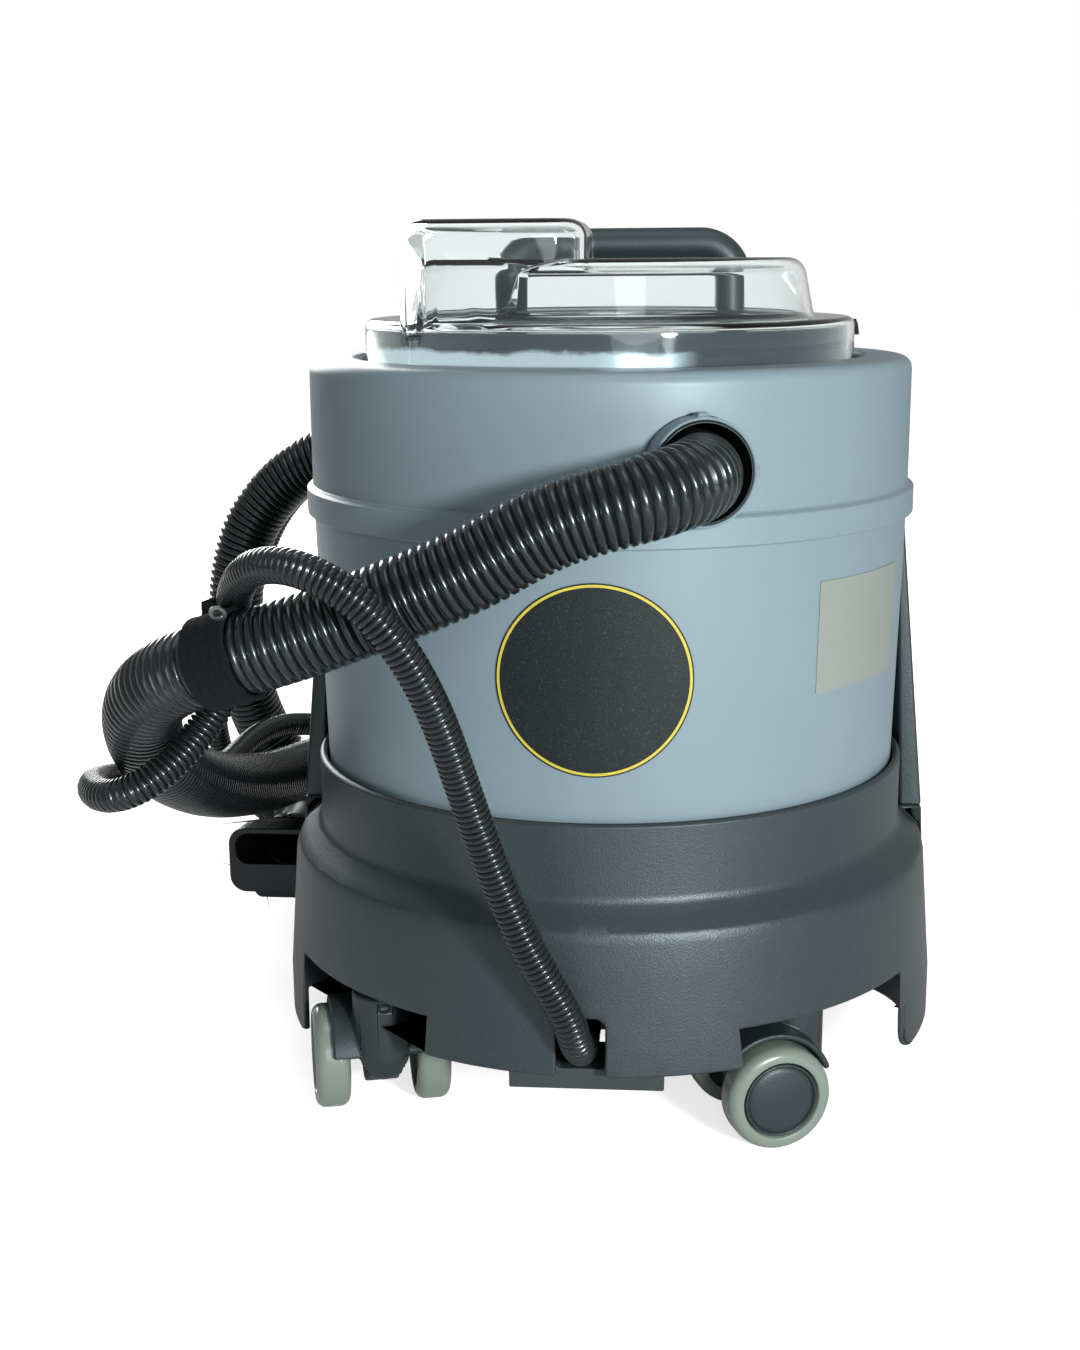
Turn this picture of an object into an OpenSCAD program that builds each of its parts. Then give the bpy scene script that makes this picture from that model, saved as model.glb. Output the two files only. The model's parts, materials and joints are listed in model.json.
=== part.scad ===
// Spot extractor: two stacked tanks on a castor base, with a clear lid,
// a vacuum hose, a solution hose and a small hand tool.
// Z is up and the machine faces -Y. The pieces are drawn round the tank axis, and place()
// then puts the middle of the machine's outline, without hoses and hand tool, on the origin.

/* [Base] */
// How far the skirt's lower edge stands outside the tanks
skirt_out = 23; // [20:1:30]
// Height of the skirt's lower edge
base_low = 62; // [61:1:66]
// How far the ledge's outer edge is inside the skirt's lower edge
ledge_in = 7; // [4:1:10]
// Height of the ledge's outer edge
ledge_low = 140; // [134:1:145]
// Height of the ledge's inner edge
ledge_high = 151; // [149:1:155]
// Height of the cup rim round the lower tank
cup_top = 195; // [180:1:215]
// Height of the lowest edge of the side skirts
side_low = 33; // [28:1:40]
// Wall of the moulded base and tower
shell_wall = 4; // [3:0.5:5]
// How far the rear wall is behind the skirt's circle
rear_out = 18; // [12:1:24]
// Width of the slot that lets the solution hose in
notch_w = 26; // [22:1:34]
// Height of the top of that slot
notch_top = 94; // [90:1:98]

/* [Tower] */
// How far the tower's flanks stand outside the skirt at its lower edge
flank_out = 2; // [1:0.5:6]
// How far the tower's top stands outside the recovery tank
tower_out = 5; // [3:0.5:10]
// Where the flanks start, behind the tank axis
flank_front = 12; // [5:1:30]
// Height of the tower
tower_top = 405; // [380:1:408]

/* [Handle] */
// Thickness of the pull handle
handle_d = 22; // [16:1:26]
// Overall width of the pull handle
handle_w = 178; // [150:1:200]
// Height of the top of the pull handle
handle_top = 503.5; // [480:0.5:520]

/* [Castors] */
// Wheel diameter
wheel_d = 60; // [50:1:60]
// Tread width
wheel_w = 20; // [16:1:22]
// Distance between the two wheel planes
wheel_gap = 42; // [40:1:44]
// Distance from the swivel axis to the axle
trail = 22; // [20:1:23]
// Stem diameter
stem_d = 11; // [9:1:12]
// Axle pin diameter
axle_d = 8; // [6:1:10]
// Sideways place of the swivel axes, inside the skirt's edge
castor_in = 76; // [72:1:80]
// Front swivel axes, inside the skirt's foremost point
castor_front_in = 76; // [72:1:80]
// Rear swivel axes, inside the rear wall
castor_rear_in = 84; // [78:1:90]

/* [Tanks] */
// Radius of the recovery tank
tank_r = 175; // [172:0.5:175]
// How much narrower the solution tank is at its foot
taper = 5; // [4:0.5:10]
// Height of the solution tank's rim
rim_z = 343; // [330:1:350]
// How far the overlap band stands out
band_out = 3.5; // [2:0.5:4.5]
// Height of the overlap band
band_h = 16; // [12:1:20]
// Height of the lid seat
seat_z = 416; // [410:1:420]
// Wall of both tanks
tank_wall = 3.5; // [3:0.5:5]
// Radius of the neck opening
neck_r = 133; // [120:1:134]

/* [Lid] */
// Outer radius of the lid's skirt
lid_r = 142; // [140:0.5:144]
// Wall of the lid
lid_wall = 3.5; // [2.5:0.5:4]
// Height of the gasket under the lid
gasket_h = 7.5; // [5:0.5:9]
// Height of the lid's flat shelf
shelf_z = 450; // [446:1:454]
// Radius of the dome at the shelf
dome_r = 118; // [112:1:122]
// Height of the dome's top
dome_z = 483; // [476:1:486]
// Width of the tall part of the dome
tall_w = 102; // [90:1:106]
// Height of the tall part
tall_z = 504; // [494:1:510]

/* [Vacuum] */
// Radius of the vacuum duct's tunnel through the solution tank
tunnel_r = 26; // [24:1:30]
// Outer radius of the standpipe
pipe_r = 17; // [14:1:18]
// Radius of the fan housing
fan_r = 72; // [60:1:76]
// Float ball diameter
float_d = 30; // [26:1:32]
// Travel of the float ball
float_travel = 12; // [8:1:14]

/* [Hoses] */
// Outside diameter of the vacuum hose
hose_d = 42; // [38:1:42]
// Depth of the vacuum hose's ribs
hose_rib = 2.2; // [1:0.1:3]
// Number of ribs on the vacuum hose
hose_ribs = 140; // [100:1:150]
// Outside diameter of the solution hose
line_d = 18; // [14:1:18]
// Depth of the solution hose's ribs
line_rib = 1.2; // [0.6:0.1:2]
// Number of ribs on the solution hose
line_ribs = 86; // [60:1:90]
// Radius of the vacuum hose's loop on the hook
loop_r = 120; // [118:1:122]

/* [Hand tool] */
// Width of the tool's mouth
mouth_w = 68; // [56:1:70]
// Outside radius of the tool's tube
grip_r = 17; // [15:0.5:18]

/* [Hidden] */
$fn = 96;
eps = 0.01;
gap = 0.3;      // clearance between round faces that touch
run = 0.1;      // radial running fit

// base
base_r = tank_r + skirt_out;
ledge_r = base_r - ledge_in;
rear_y = base_r + rear_out;
flank_low = base_r + flank_out;
flank_high = tank_r + tower_out;
foot_r = tank_r - taper;
deck_z = ledge_high + 6;
deck_t = shell_wall;
cup_in = foot_r + 2.5;
cup_out = cup_in + shell_wall;
well_r = 62;
well_top = wheel_d + 24;
socket_r = 10;
socket_h = 26;
rear_round = 50;
notch_x = -6;
plate_t = 4;
plate_z = base_low;
plate_r = base_r - shell_wall - 1;
flank_in = tank_r + band_out + 2;

// castors: [x, y, direction of trail in degrees]
castor_x = base_r - castor_in;
castor_front = base_r - castor_front_in;
castor_rear = rear_y - castor_rear_in;
castor_fl = [-castor_x - 2, -castor_front, 105];
castor_fr = [castor_x - 12, -castor_front + 14, 200];
castor_rl = [-castor_x, castor_rear, 78];
castor_rr = [castor_x, castor_rear, 110];
axle_z = wheel_d / 2;
barrel_r = 17;
barrel_top = well_top - 2;

// tanks
foot_z = deck_z;
lip_low = rim_z - 3.5;
lip_top = lip_low + band_h;
floor_z = rim_z;
shoulder = 18;
duct = [-40, 20];
valve_at = [88, -40];
pick_z = 379;
cuff_turn = 17;
cuff_r = 27.8;
ring_r = 26;

// lid
gasket_z = seat_z;
skirt_z = seat_z + gasket_h;
neck_ring_r = lid_r - lid_wall - 1;
ring_wall = 3;
tall_mid = [-59, -52];
tall_d = 106;

// vacuum parts
fan_z = 112;
fan_h = 33;
fan_wall = 2;
seal_h = deck_z - deck_t - fan_z - fan_h;
motor_r = 45;
shaft_r = 4;
plate_top = plate_z + plate_t;
intake_x = duct[0] + 62;
intake_h = 24;
intake_z = seat_z - 16;
seat_r = 11;
cage_r = float_d / 2 + 3.5;
cage_rod = 1.8;

// hoses
hook_x = -184;
hook_z = 230;
hook_y = 262;
hook_step = 30;
turn_step = 22.5;
line_back = 31;
hook_wall = 3;
hook_out = loop_r * (2 + cos(turn_step)) / 3 - hose_d / 2 - 0.5;
hook_len = 116;
holster_wall = 4;
hook_plate_z = hook_z + hook_out - 15.5;
hook_screws = [hook_x + 58, hook_x + 74];
line_loop = loop_r - (hose_d - line_d) / 2;
outlet_z = 72;
outlet_y = 47 - base_r;
tool_x = -243;
tool_z = 66;
line_z = 32;
tail_y = 238;
line_end = 234;
strap_along = 305;

function turn(a, b, r, back, n) = [
    for (k = [0:n])
    let (t = a + (b - a) * k / n)
    [hook_x + r * cos(t), hook_y + back + hook_step * (t + 95) / 360, hook_z + r * sin(t)]
];

hose_route = concat([
    [43, -141, 379], [49, -160, 379], [54, -179, 379], [53, -197.5, 378], [43, -213, 376],
    [28, -223, 372], [9, -228, 368], [-22, -229, 359], [-52, -230, 340], [-85, -230, 326],
    [-117, -230, 313], [-150, -228, 301], [-180, -223, 292], [-208, -211, 282],
    [-230, -191, 266], [-242, -166, 245], [-247, -137, 222], [-247, -105, 203],
    [-247, -66, 185], [-247, -22, 168], [-247, 28, 152], [-247, 78, 138], [-245, 124, 126],
    [-242, 172, 117], [-233, 218, 112], [-213, 250, 109]
], turn(-90, 180, loop_r, 0, 270 / turn_step), [
    [-304, 290, 198], [-304, 301, 168], [-301, 313, 138], [-293, 322, 110], [-278, 323, 87],
    [-261, 312, 71], [-249, 294, 66], [-244, 274, 66], [-243, 256, 66], [-243, tail_y, 66]
]);

line_route = concat([
    [-6, outlet_y, 72], [-6, -165, 72], [-6, -179, 72], [-6, -192, 75], [-8, -203, 84],
    [-10, -209, 96], [-15, -212, 110], [-31, -217, 139], [-47, -222, 183], [-60, -233, 227],
    [-70, -250, 272], [-84, -264, 307], [-104, -268, 332], [-132, -264, 346],
    [-156, -248, 344], [-172, -222, 330], [-182, -193, 311], [-187, -172, 288],
    [-193, -165, 265], [-204, -172, 245], [-217, -185, 229], [-233, -193, 217],
    [-250, -191, 210], [-265, -176, 207], [-275, -152, 205], [-280, -122, 199],
    [-280, -92, 192], [-280, -56, 178], [-280, -18, 165], [-280, 30, 150], [-280, 80, 139],
    [-279, 125, 134], [-277, 170, 134], [-273, 215, 137], [-260, 258, 135], [-233, 285, 126]
], turn(-90, 165, line_loop, line_back, 12), [
    [-299, 322, 226], [-314, 324, 196], [-328, 326, 166], [-336, 330, 138], [-338, 337, 110],
    [-334, 341, 82], [-321, 338, 58], [-300, 329, 42], [-277, 314, 34], [-257, 294, 32],
    [-246, 273, 32], [-243, 252, 32], [-243, line_end, 32]
]);

// the outline's middle, from the outermost pieces: holster, flank, skirt and hook
left_x = tool_x - grip_r - holster_wall;
right_x = flank_low;
front_y = -base_r;
back_y = rear_y + hook_len + hook_wall;

// ---- helpers ----

module place() {
    translate([-(left_x + right_x) / 2, -(front_y + back_y) / 2, 0]) children();
}

module ring(outer, inner, h) {
    difference() {
        cylinder(r = outer, h = h);
        translate([0, 0, -1]) cylinder(r = inner, h = h + 2);
    }
}

// a solid of revolution from a list of [radius, height] points
module revolve(points, angle = 360) {
    rotate_extrude(angle = angle) polygon(points);
}

// lies along +Y instead of +Z
module along_y() {
    rotate([-90, 0, 0]) children();
}

// lies along +X instead of +Z
module along_x() {
    rotate([0, 90, 0]) children();
}

// quarter circle of points round [r, z], from angle a to angle b
function arc(r, z, radius, a, b, n = 6) = [
    for (k = [0:n])
    let (t = a + (b - a) * k / n)
    [r + radius * cos(t), z + radius * sin(t)]
];

// cubic B-spline through a route, with its ends held
function spline(p, n) =
    let (last = len(p) - 1, q = concat([2 * p[0] - p[1]], p, [2 * p[last] - p[last - 1]]))
    concat([
        for (i = [1:last])
        for (k = [0:n - 1])
        let (t = k / n, a = 1 - t)
        (a * a * a * q[i - 1] + (3 * t * t * t - 6 * t * t + 4) * q[i]
            + (3 * t * t + 3 * t + 1 - 3 * t * t * t) * q[i + 1] + t * t * t * q[i + 2]) / 6
    ], [p[last]]);

function lengths(c) = [
    for (i = 0, s = 0; i < len(c); i = i + 1, s = s + (i < len(c) ? norm(c[i] - c[i - 1]) : 0)) s
];

function tables(c, s) = [for (a = [0:2]) [for (i = [0:len(c) - 1]) [s[i], c[i][a]]]];

function at(tab, s) = [lookup(s, tab[0]), lookup(s, tab[1]), lookup(s, tab[2])];

function unit(v) = v / norm(v);

function heading(tab, s) = unit(at(tab, s + 1) - at(tab, s - 1));

// side vectors carried along the route without twist
function sides(t) = [
    for (i = 0, u = unit(cross(t[0], [0.1, 0.2, 1])); i < len(t);
        i = i + 1, u = i < len(t) ? unit(u - (u * t[i]) * t[i]) : u) u
];

function hoop(c, t, u, r, n) = [
    for (k = [0:n - 1])
    let (w = cross(t, u), a = 360 * k / n)
    c + r * (cos(a) * u + sin(a) * w)
];

// triangles between ring i and ring i + 1 of n points each
function skin(first, rings, n, out) = [
    for (i = [0:rings - 2])
    for (k = [0:n - 1])
    let (a = first + i * n + k, b = first + i * n + (k + 1) % n, c = a + n, d = b + n)
    each (out ? [[a, c, b], [b, c, d]] : [[a, b, c], [b, d, c]])
];

function cap(ro, ri, n, start) = [
    for (k = [0:n - 1])
    let (a = ro + k, b = ro + (k + 1) % n, c = ri + k, d = ri + (k + 1) % n)
    each (start ? [[a, b, c], [b, d, c]] : [[a, c, b], [b, c, d]])
];

// ribbed tube with a plain bore, as one closed skin
module ribbed(route, d, rib, ribs, bore, bore_rings, n = 8) {
    c = spline(route, 8);
    s = lengths(c);
    tab = tables(c, s);
    total = s[len(s) - 1];
    count = 2 * ribs + 1;
    so = [for (i = [0:count - 1]) total * i / (count - 1)];
    si = [for (i = [0:bore_rings - 1]) total * i / (bore_rings - 1)];
    to = [for (x = so) heading(tab, x)];
    uo = sides(to);
    near = [for (x = si) round(x / total * (count - 1))];
    outer = [
        for (i = [0:count - 1])
        each hoop(at(tab, so[i]), to[i], uo[i], d / 2 - (i % 2 == 0 ? rib : 0), n)
    ];
    inner = [for (j = near) each hoop(at(tab, so[j]), to[j], uo[j], bore / 2, n)];
    base = count * n;
    polyhedron(
        points = concat(outer, inner),
        faces = concat(
            skin(0, count, n, true),
            skin(base, bore_rings, n, false),
            cap(0, base, n, true),
            cap(base - n, base + (bore_rings - 1) * n, n, false)
        )
    );
}

// least clear distance of a tube to itself, leaving out neighbours along it
function self_gap(route, d, step = 14, skip = 7) =
    let (
        c = spline(route, 8),
        s = lengths(c),
        tab = tables(c, s),
        n = floor(s[len(s) - 1] / step),
        p = [for (i = [0:n]) at(tab, i * step)]
    )
    min([for (i = [0:n]) for (j = [i + skip:1:n]) norm(p[i] - p[j])]) - d;

echo(vacuum_hose_gap = self_gap(hose_route, hose_d));
echo(solution_hose_gap = self_gap(line_route, line_d));

// ---- base ----

// half width of the flanks at a height
function flank(z) = flank_low + (flank_high - flank_low) * (z - side_low) / (tower_top - side_low);

// flat outline of the rear block, inset by the wall, as a thin slab
module rear_slab(z, inset) {
    half = flank(z) - inset;
    rear_r = rear_round - inset;
    for (side = [-1, 1]) {
        translate([side * (half - rear_r), rear_y - inset - rear_r, z]) cylinder(r = rear_r, h = eps, $fn = 48);
        translate([side * (half - 5) - 5, flank_front + inset, z]) cube([10, 10, eps]);
    }
}

module rear_block(low, high, inset) {
    intersection() {
        hull() {
            rear_slab(0, inset);
            rear_slab(1.2 * tower_top, inset);
        }
        translate([-2 * flank_low, 0, low]) cube([4 * flank_low, 2 * rear_y, high - low]);
    }
}

module skirt_solid(inset) {
    slope = inset * 0.4;
    low = side_low - (inset > 0 ? 6 : 5);
    revolve([
        [0, low],
        [base_r - inset, low],
        [base_r - inset, base_low],
        [ledge_r + 1.5 - inset, ledge_low - 6],
        [ledge_r - inset, ledge_low - slope],
        [cup_out + 3 - inset, ledge_high - slope - (inset > 0 ? shell_wall : 0)],
        [0, ledge_high - slope - (inset > 0 ? shell_wall : 0)]
    ]);
}

module cup_wall() {
    revolve([
        [cup_in - 8, deck_z - deck_t],
        [cup_in - 8, ledge_high - 3],
        [cup_out + 3, ledge_high - 3],
        [cup_out + 3, ledge_high],
        [cup_out, ledge_high + 5],
        [cup_out, cup_top - 2],
        [cup_out - 1, cup_top],
        [cup_in + 0.5, cup_top],
        [cup_in, cup_top - 1],
        [cup_in, deck_z],
        [0, deck_z],
        [0, deck_z - deck_t]
    ]);
}

module castor_places() {
    for (c = [castor_fl, castor_fr, castor_rl, castor_rr]) translate([c[0], c[1], 0]) children();
}

// room for the castors to turn; the bay at the front right is wider than its castor needs
module wells(low, high, grow) {
    castor_places() translate([0, 0, low]) cylinder(r = well_r + grow, h = high - low);
    translate([castor_fr[0] - 21, castor_fr[1] - 37, low]) cylinder(r = 37 + grow, h = high - low);
}

// everything under the skirt but the side skirts, which hang lower and have rounded corners
module foot_cut() {
    round_r = 14;
    front = -92;
    back = castor_rear - 40;
    along_x() translate([0, 0, -flank_low - 5]) linear_extrude(2 * flank_low + 10) difference() {
        translate([-base_low, -2 * base_r]) square([base_low, 4 * base_r]);
        translate([-base_low - 5, front]) square([base_low + 5 - side_low - round_r, back - front]);
        translate([-base_low - 5, front + round_r]) square([base_low + 5 - side_low, back - front - 2 * round_r]);
        translate([-side_low - round_r, front + round_r]) circle(r = round_r);
        translate([-side_low - round_r, back - round_r]) circle(r = round_r);
    }
}

module notch_cut() {
    translate([notch_x, 0, 0]) {
        translate([-notch_w / 2, -base_r - 5, 0]) cube([notch_w, 30, notch_top - 6]);
        translate([-notch_w / 2 + 6, -base_r - 5, 0]) cube([notch_w - 12, 30, notch_top]);
        for (side = [-1, 1]) translate([side * (notch_w / 2 - 6), -base_r - 5, notch_top - 6])
            along_y() cylinder(r = 6, h = 30);
    }
}

module hollow() {
    difference() {
        union() {
            skirt_solid(shell_wall);
            rear_block(side_low - 6, ledge_high - shell_wall, shell_wall);
            translate([0, 0, base_low]) cylinder(r = cup_in - 4, h = deck_z - deck_t - base_low);
        }
        wells(base_low, well_top + 3, 3);
        castor_places() translate([0, 0, well_top]) cylinder(r = socket_r, h = ledge_high);
        for (p = screw_places) translate([p[0], p[1], plate_top]) cylinder(r = 5, h = deck_z);
    }
}

module base_shell() {
    color("#1d2224") difference() {
        union() {
            difference() {
                union() {
                    skirt_solid(0);
                    rear_block(side_low - 5, ledge_high, 0);
                }
                hollow();
                translate([0, 0, deck_z - deck_t]) cylinder(r = cup_in, h = deck_z);
            }
            cup_wall();
            for (p = screw_places) if (norm(p) < cup_in - 6) translate([p[0], p[1], ledge_high - 2])
                cylinder(r = 5, h = deck_z - ledge_high);
        }
        foot_cut();
        wells(-1, well_top, 0);
        castor_places() cylinder(d = stem_d + 2 * run, h = well_top + socket_h - 3);
        for (p = screw_places) translate([p[0], p[1], 0]) cylinder(r = 1.6, h = plate_top + 14);
        notch_cut();
        translate([duct[0], duct[1], 0]) cylinder(r = tunnel_r - 6, h = 2 * deck_z);
        translate([duct[0], duct[1], deck_z - 2]) cylinder(r = tunnel_r + 4 + gap, h = 3);
        translate([valve_at[0], valve_at[1], 0]) cylinder(r = 9, h = 2 * deck_z);
        for (side = [-1, 1]) translate([side * (flank(rivet_z) + 3), rivet_y, rivet_z]) along_x()
            translate([0, 0, -12]) cylinder(r = 2.2, h = 24);
        translate([gland_x, rear_y - 10, gland_z]) along_y() cylinder(r = 7, h = 20);
    }
}

rivet_y = 40;
rivet_z = 128;
gland_x = 110;
gland_z = 118;
screw_places = [
    [0, rear_y - 51], [33 - base_r, 20], [base_r - 33, 20], [-54, 32 - base_r], [28, 28 - base_r], [0, -95]
];

module bottom_plate() {
    color("#8a8f90") difference() {
        union() {
            translate([0, 0, plate_z]) intersection() {
                union() {
                    cylinder(r = plate_r, h = plate_t);
                    translate([-plate_r, flank_front + shell_wall + 1, 0])
                        cube([2 * plate_r, rear_y - flank_front - 2 * shell_wall - 2, plate_t]);
                }
                translate([-plate_r, -plate_r, 0]) cube([2 * plate_r, plate_r + rear_y - shell_wall - 1, plate_t]);
            }
            translate([-45, -plate_r + 7, plate_z - 12]) cube([83, 36, 13]);
            translate([notch_x - 14, outlet_y + 14, plate_z]) cube([28, 5, 30]);
        }
        wells(plate_z - 13, plate_z + plate_t + 1, 4);
        for (side = [-1, 1]) translate([side * (plate_r + 18), rear_y - 12, plate_z - 1]) cylinder(r = 60, h = plate_t + 2);
        for (p = screw_places) translate([p[0], p[1], plate_z - 1]) cylinder(r = 2.3, h = plate_t + 2);
        translate([notch_x - 12, -base_r, plate_z]) cube([24, 62, plate_t + 1]);
        translate([notch_x, outlet_y, outlet_z]) along_y() cylinder(r = 6.3, h = 40);
    }
}

module case_screws() {
    color("silver") for (p = screw_places) translate([p[0], p[1], plate_z - 2.4]) {
        cylinder(r = 4, h = 2.4);
        cylinder(r = 1.5, h = 16);
    }
    color("silver") for (x = hook_screws) translate([x, rear_y + hook_wall + 2, hook_plate_z]) rotate([90, 0, 0]) {
        cylinder(r = 4, h = 2);
        cylinder(r = 1.5, h = hook_wall + 8);
    }
}

module rear_tower() {
    color("#1d2224") difference() {
        rear_block(ledge_high, tower_top, 0);
        difference() {
            rear_block(ledge_high - 1, tower_top - shell_wall, shell_wall);
            cylinder(r = flank_in + shell_wall, h = tower_top);
        }
        translate([0, 0, ledge_high - 1]) cylinder(r = flank_in, h = tower_top);
        translate([panel_x - panel_w / 2 + 6, rear_y - 12, panel_z - panel_h / 2 + 6])
            cube([panel_w - 12, 20, panel_h - 12]);
        for (x = hook_screws) translate([x, rear_y - 10, hook_plate_z]) along_y() cylinder(r = 1.6, h = 20);
    }
}

module shell_rivets() {
    color("#d8dcd8") for (side = [-1, 1]) translate([side * flank(rivet_z), rivet_y, rivet_z])
        rotate([0, side * 90, 0]) {
            translate([0, 0, -7]) cylinder(r = 2, h = 8);
            translate([0, 0, 0.1]) intersection() {
                translate([0, 0, -2.5]) sphere(r = 5);
                cylinder(r = 4.2, h = 6);
            }
        }
}

handle_y = 199;
handle_bend = 24;

module pull_handle() {
    half = handle_w / 2 - handle_d / 2;
    bar_z = handle_top - handle_d / 2;
    color("#1b1f21") {
        for (side = [-1, 1]) {
            translate([side * half, handle_y, tower_top]) {
                cylinder(d = handle_d, h = bar_z - handle_bend - tower_top);
                cylinder(r = handle_d / 2 + 4, h = 5);
            }
            translate([side * (half - handle_bend), handle_y, bar_z - handle_bend])
                rotate([90, 0, side > 0 ? 0 : 180]) rotate_extrude(angle = 90)
                    translate([handle_bend, 0]) circle(d = handle_d);
        }
        translate([-half + handle_bend, handle_y, bar_z]) along_x()
            cylinder(d = handle_d, h = 2 * (half - handle_bend));
    }
}

panel_x = 60;
panel_z = 330;
panel_w = 90;
panel_h = 54;
rocker_w = 16;
rocker_h = 24;
rocker_gap = 36;
rocker_tilt = 10;

module switch_panel() {
    color("#2c3032") difference() {
        union() {
            translate([panel_x - panel_w / 2, rear_y, panel_z - panel_h / 2]) cube([panel_w, 3, panel_h]);
            translate([panel_x - panel_w / 2 + 7, rear_y - 8, panel_z - panel_h / 2 + 7])
                cube([panel_w - 14, 9, panel_h - 14]);
        }
        for (side = [-1, 1]) translate([panel_x + side * rocker_gap / 2 - rocker_w / 2 - 0.4,
            rear_y - 7, panel_z - rocker_h / 2 - 0.6]) cube([rocker_w + 0.8, 20, rocker_h + 1.2]);
    }
}

module rocker(x) {
    color("#0c0d0e") translate([x - rocker_w / 2, rear_y + 0.5, panel_z]) rotate([-rocker_tilt, 0, 0])
        rotate([90, 0, 90]) linear_extrude(rocker_w) polygon([
            [-3, -7], [5.5, -rocker_h / 2 + 0.3], [3.6, 0], [5.5, rocker_h / 2 - 0.3], [-3, 7]
        ]);
}

module vacuum_switch() {
    rocker(panel_x - rocker_gap / 2);
}

module pump_switch() {
    rocker(panel_x + rocker_gap / 2);
}

module cord_gland() {
    color("#111314") translate([gland_x, rear_y, gland_z]) along_y() difference() {
        union() {
            cylinder(r = 11, h = 6, $fn = 6);
            translate([0, 0, 6 - eps]) cylinder(r = 8.5, h = 8);
            translate([0, 0, -9]) cylinder(r = 6.7, h = 10);
        }
        translate([0, 0, -10]) cylinder(r = 4.2, h = 30);
    }
}

// ---- vacuum motor ----

module fan_housing() {
    color("#b9bdbf") translate([duct[0], duct[1], fan_z]) difference() {
        cylinder(r = fan_r, h = fan_h);
        translate([0, 0, fan_wall]) cylinder(r = fan_r - fan_wall, h = fan_h - 2 * fan_wall);
        cylinder(r = 20, h = 3 * fan_h);
        translate([0, 0, -1]) cylinder(r = shaft_r + 8, h = fan_h);
        for (a = [30:60:330]) rotate(a) translate([fan_r - 14, 0, -1]) cylinder(r = 6, h = fan_wall + 2);
    }
}

module motor_body() {
    color("#3a3d40") translate([duct[0], duct[1], 0]) {
        translate([0, 0, plate_top + 12]) cylinder(r = motor_r, h = fan_z - plate_top - 12);
        translate([0, 0, fan_z - 1]) cylinder(r = shaft_r, h = fan_h - 6);
        translate([0, 0, plate_top + 5]) cylinder(r = 15, h = 8);
    }
}

module impeller() {
    blades = 9;
    low = fan_z + fan_wall + 4;
    color("#c9cccd") translate([duct[0], duct[1], low]) difference() {
        union() {
            cylinder(r = fan_r - 9, h = 1.5);
            cylinder(r = 11, h = 19);
            translate([0, 0, 18.5]) ring(fan_r - 9, 24, 1.5);
            for (k = [0:blades - 1]) rotate(k * 360 / blades) translate([22, 0, 1])
                rotate(-35) cube([fan_r - 37, 1.4, 18]);
        }
        translate([0, 0, -1]) cylinder(r = shaft_r + run, h = 30);
    }
}

module motor_gasket() {
    color("#202020") translate([duct[0], duct[1], fan_z + fan_h]) ring(34, 21, seal_h);
}

module motor_stand() {
    color("#777b7d") translate([duct[0], duct[1], plate_top]) {
        for (a = [90:120:330]) rotate(a) translate([motor_r + 12, 0, 0]) {
            cylinder(r = 4.5, h = fan_z - plate_top);
            cylinder(r = 9, h = 3);
        }
        ring(motor_r + 17, motor_r + 7, 3);
    }
}

// ---- pump ----

pump_at = [92, 20];

module solution_pump() {
    color("#23272a") translate([pump_at[0], pump_at[1], plate_top + 22]) {
        translate([0, -10, 0]) along_y() cylinder(r = 20, h = 52);
        translate([-23, -38, -20]) cube([46, 29, 40]);
        for (side = [-1, 1]) translate([side * 12, -50, 8]) along_y() cylinder(r = 5, h = 13);
    }
}

module pump_bracket() {
    color("#9a9ea0") translate([pump_at[0], pump_at[1], plate_top]) {
        translate([-26, -36, 0]) cube([52, 76, 1.8]);
        for (side = [-1, 1]) translate([side * 24.6 - 1.3, -36, 0]) cube([2.6, 25, 16]);
        translate([-20, 4, 0]) cube([8, 30, 6]);
        translate([12, 4, 0]) cube([8, 30, 6]);
    }
}

module outlet_fitting() {
    color("#b08d45") translate([notch_x, outlet_y, outlet_z]) along_y() difference() {
        union() {
            cylinder(r = line_d / 2, h = 8);
            translate([0, 0, 8 - eps]) cylinder(r = 10, h = 6 - gap / 3, $fn = 6);
            cylinder(r = 6, h = 30);
        }
        translate([0, 0, -1]) cylinder(r = 3, h = 40);
    }
}

module tunnel_gasket() {
    color("#181818") translate([duct[0], duct[1], deck_z - 2]) ring(tunnel_r + 4, tunnel_r - 3, 2);
}

// ---- castors ----

module at_castor(c) {
    translate([c[0], c[1], 0]) rotate(c[2]) children();
}

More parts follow.
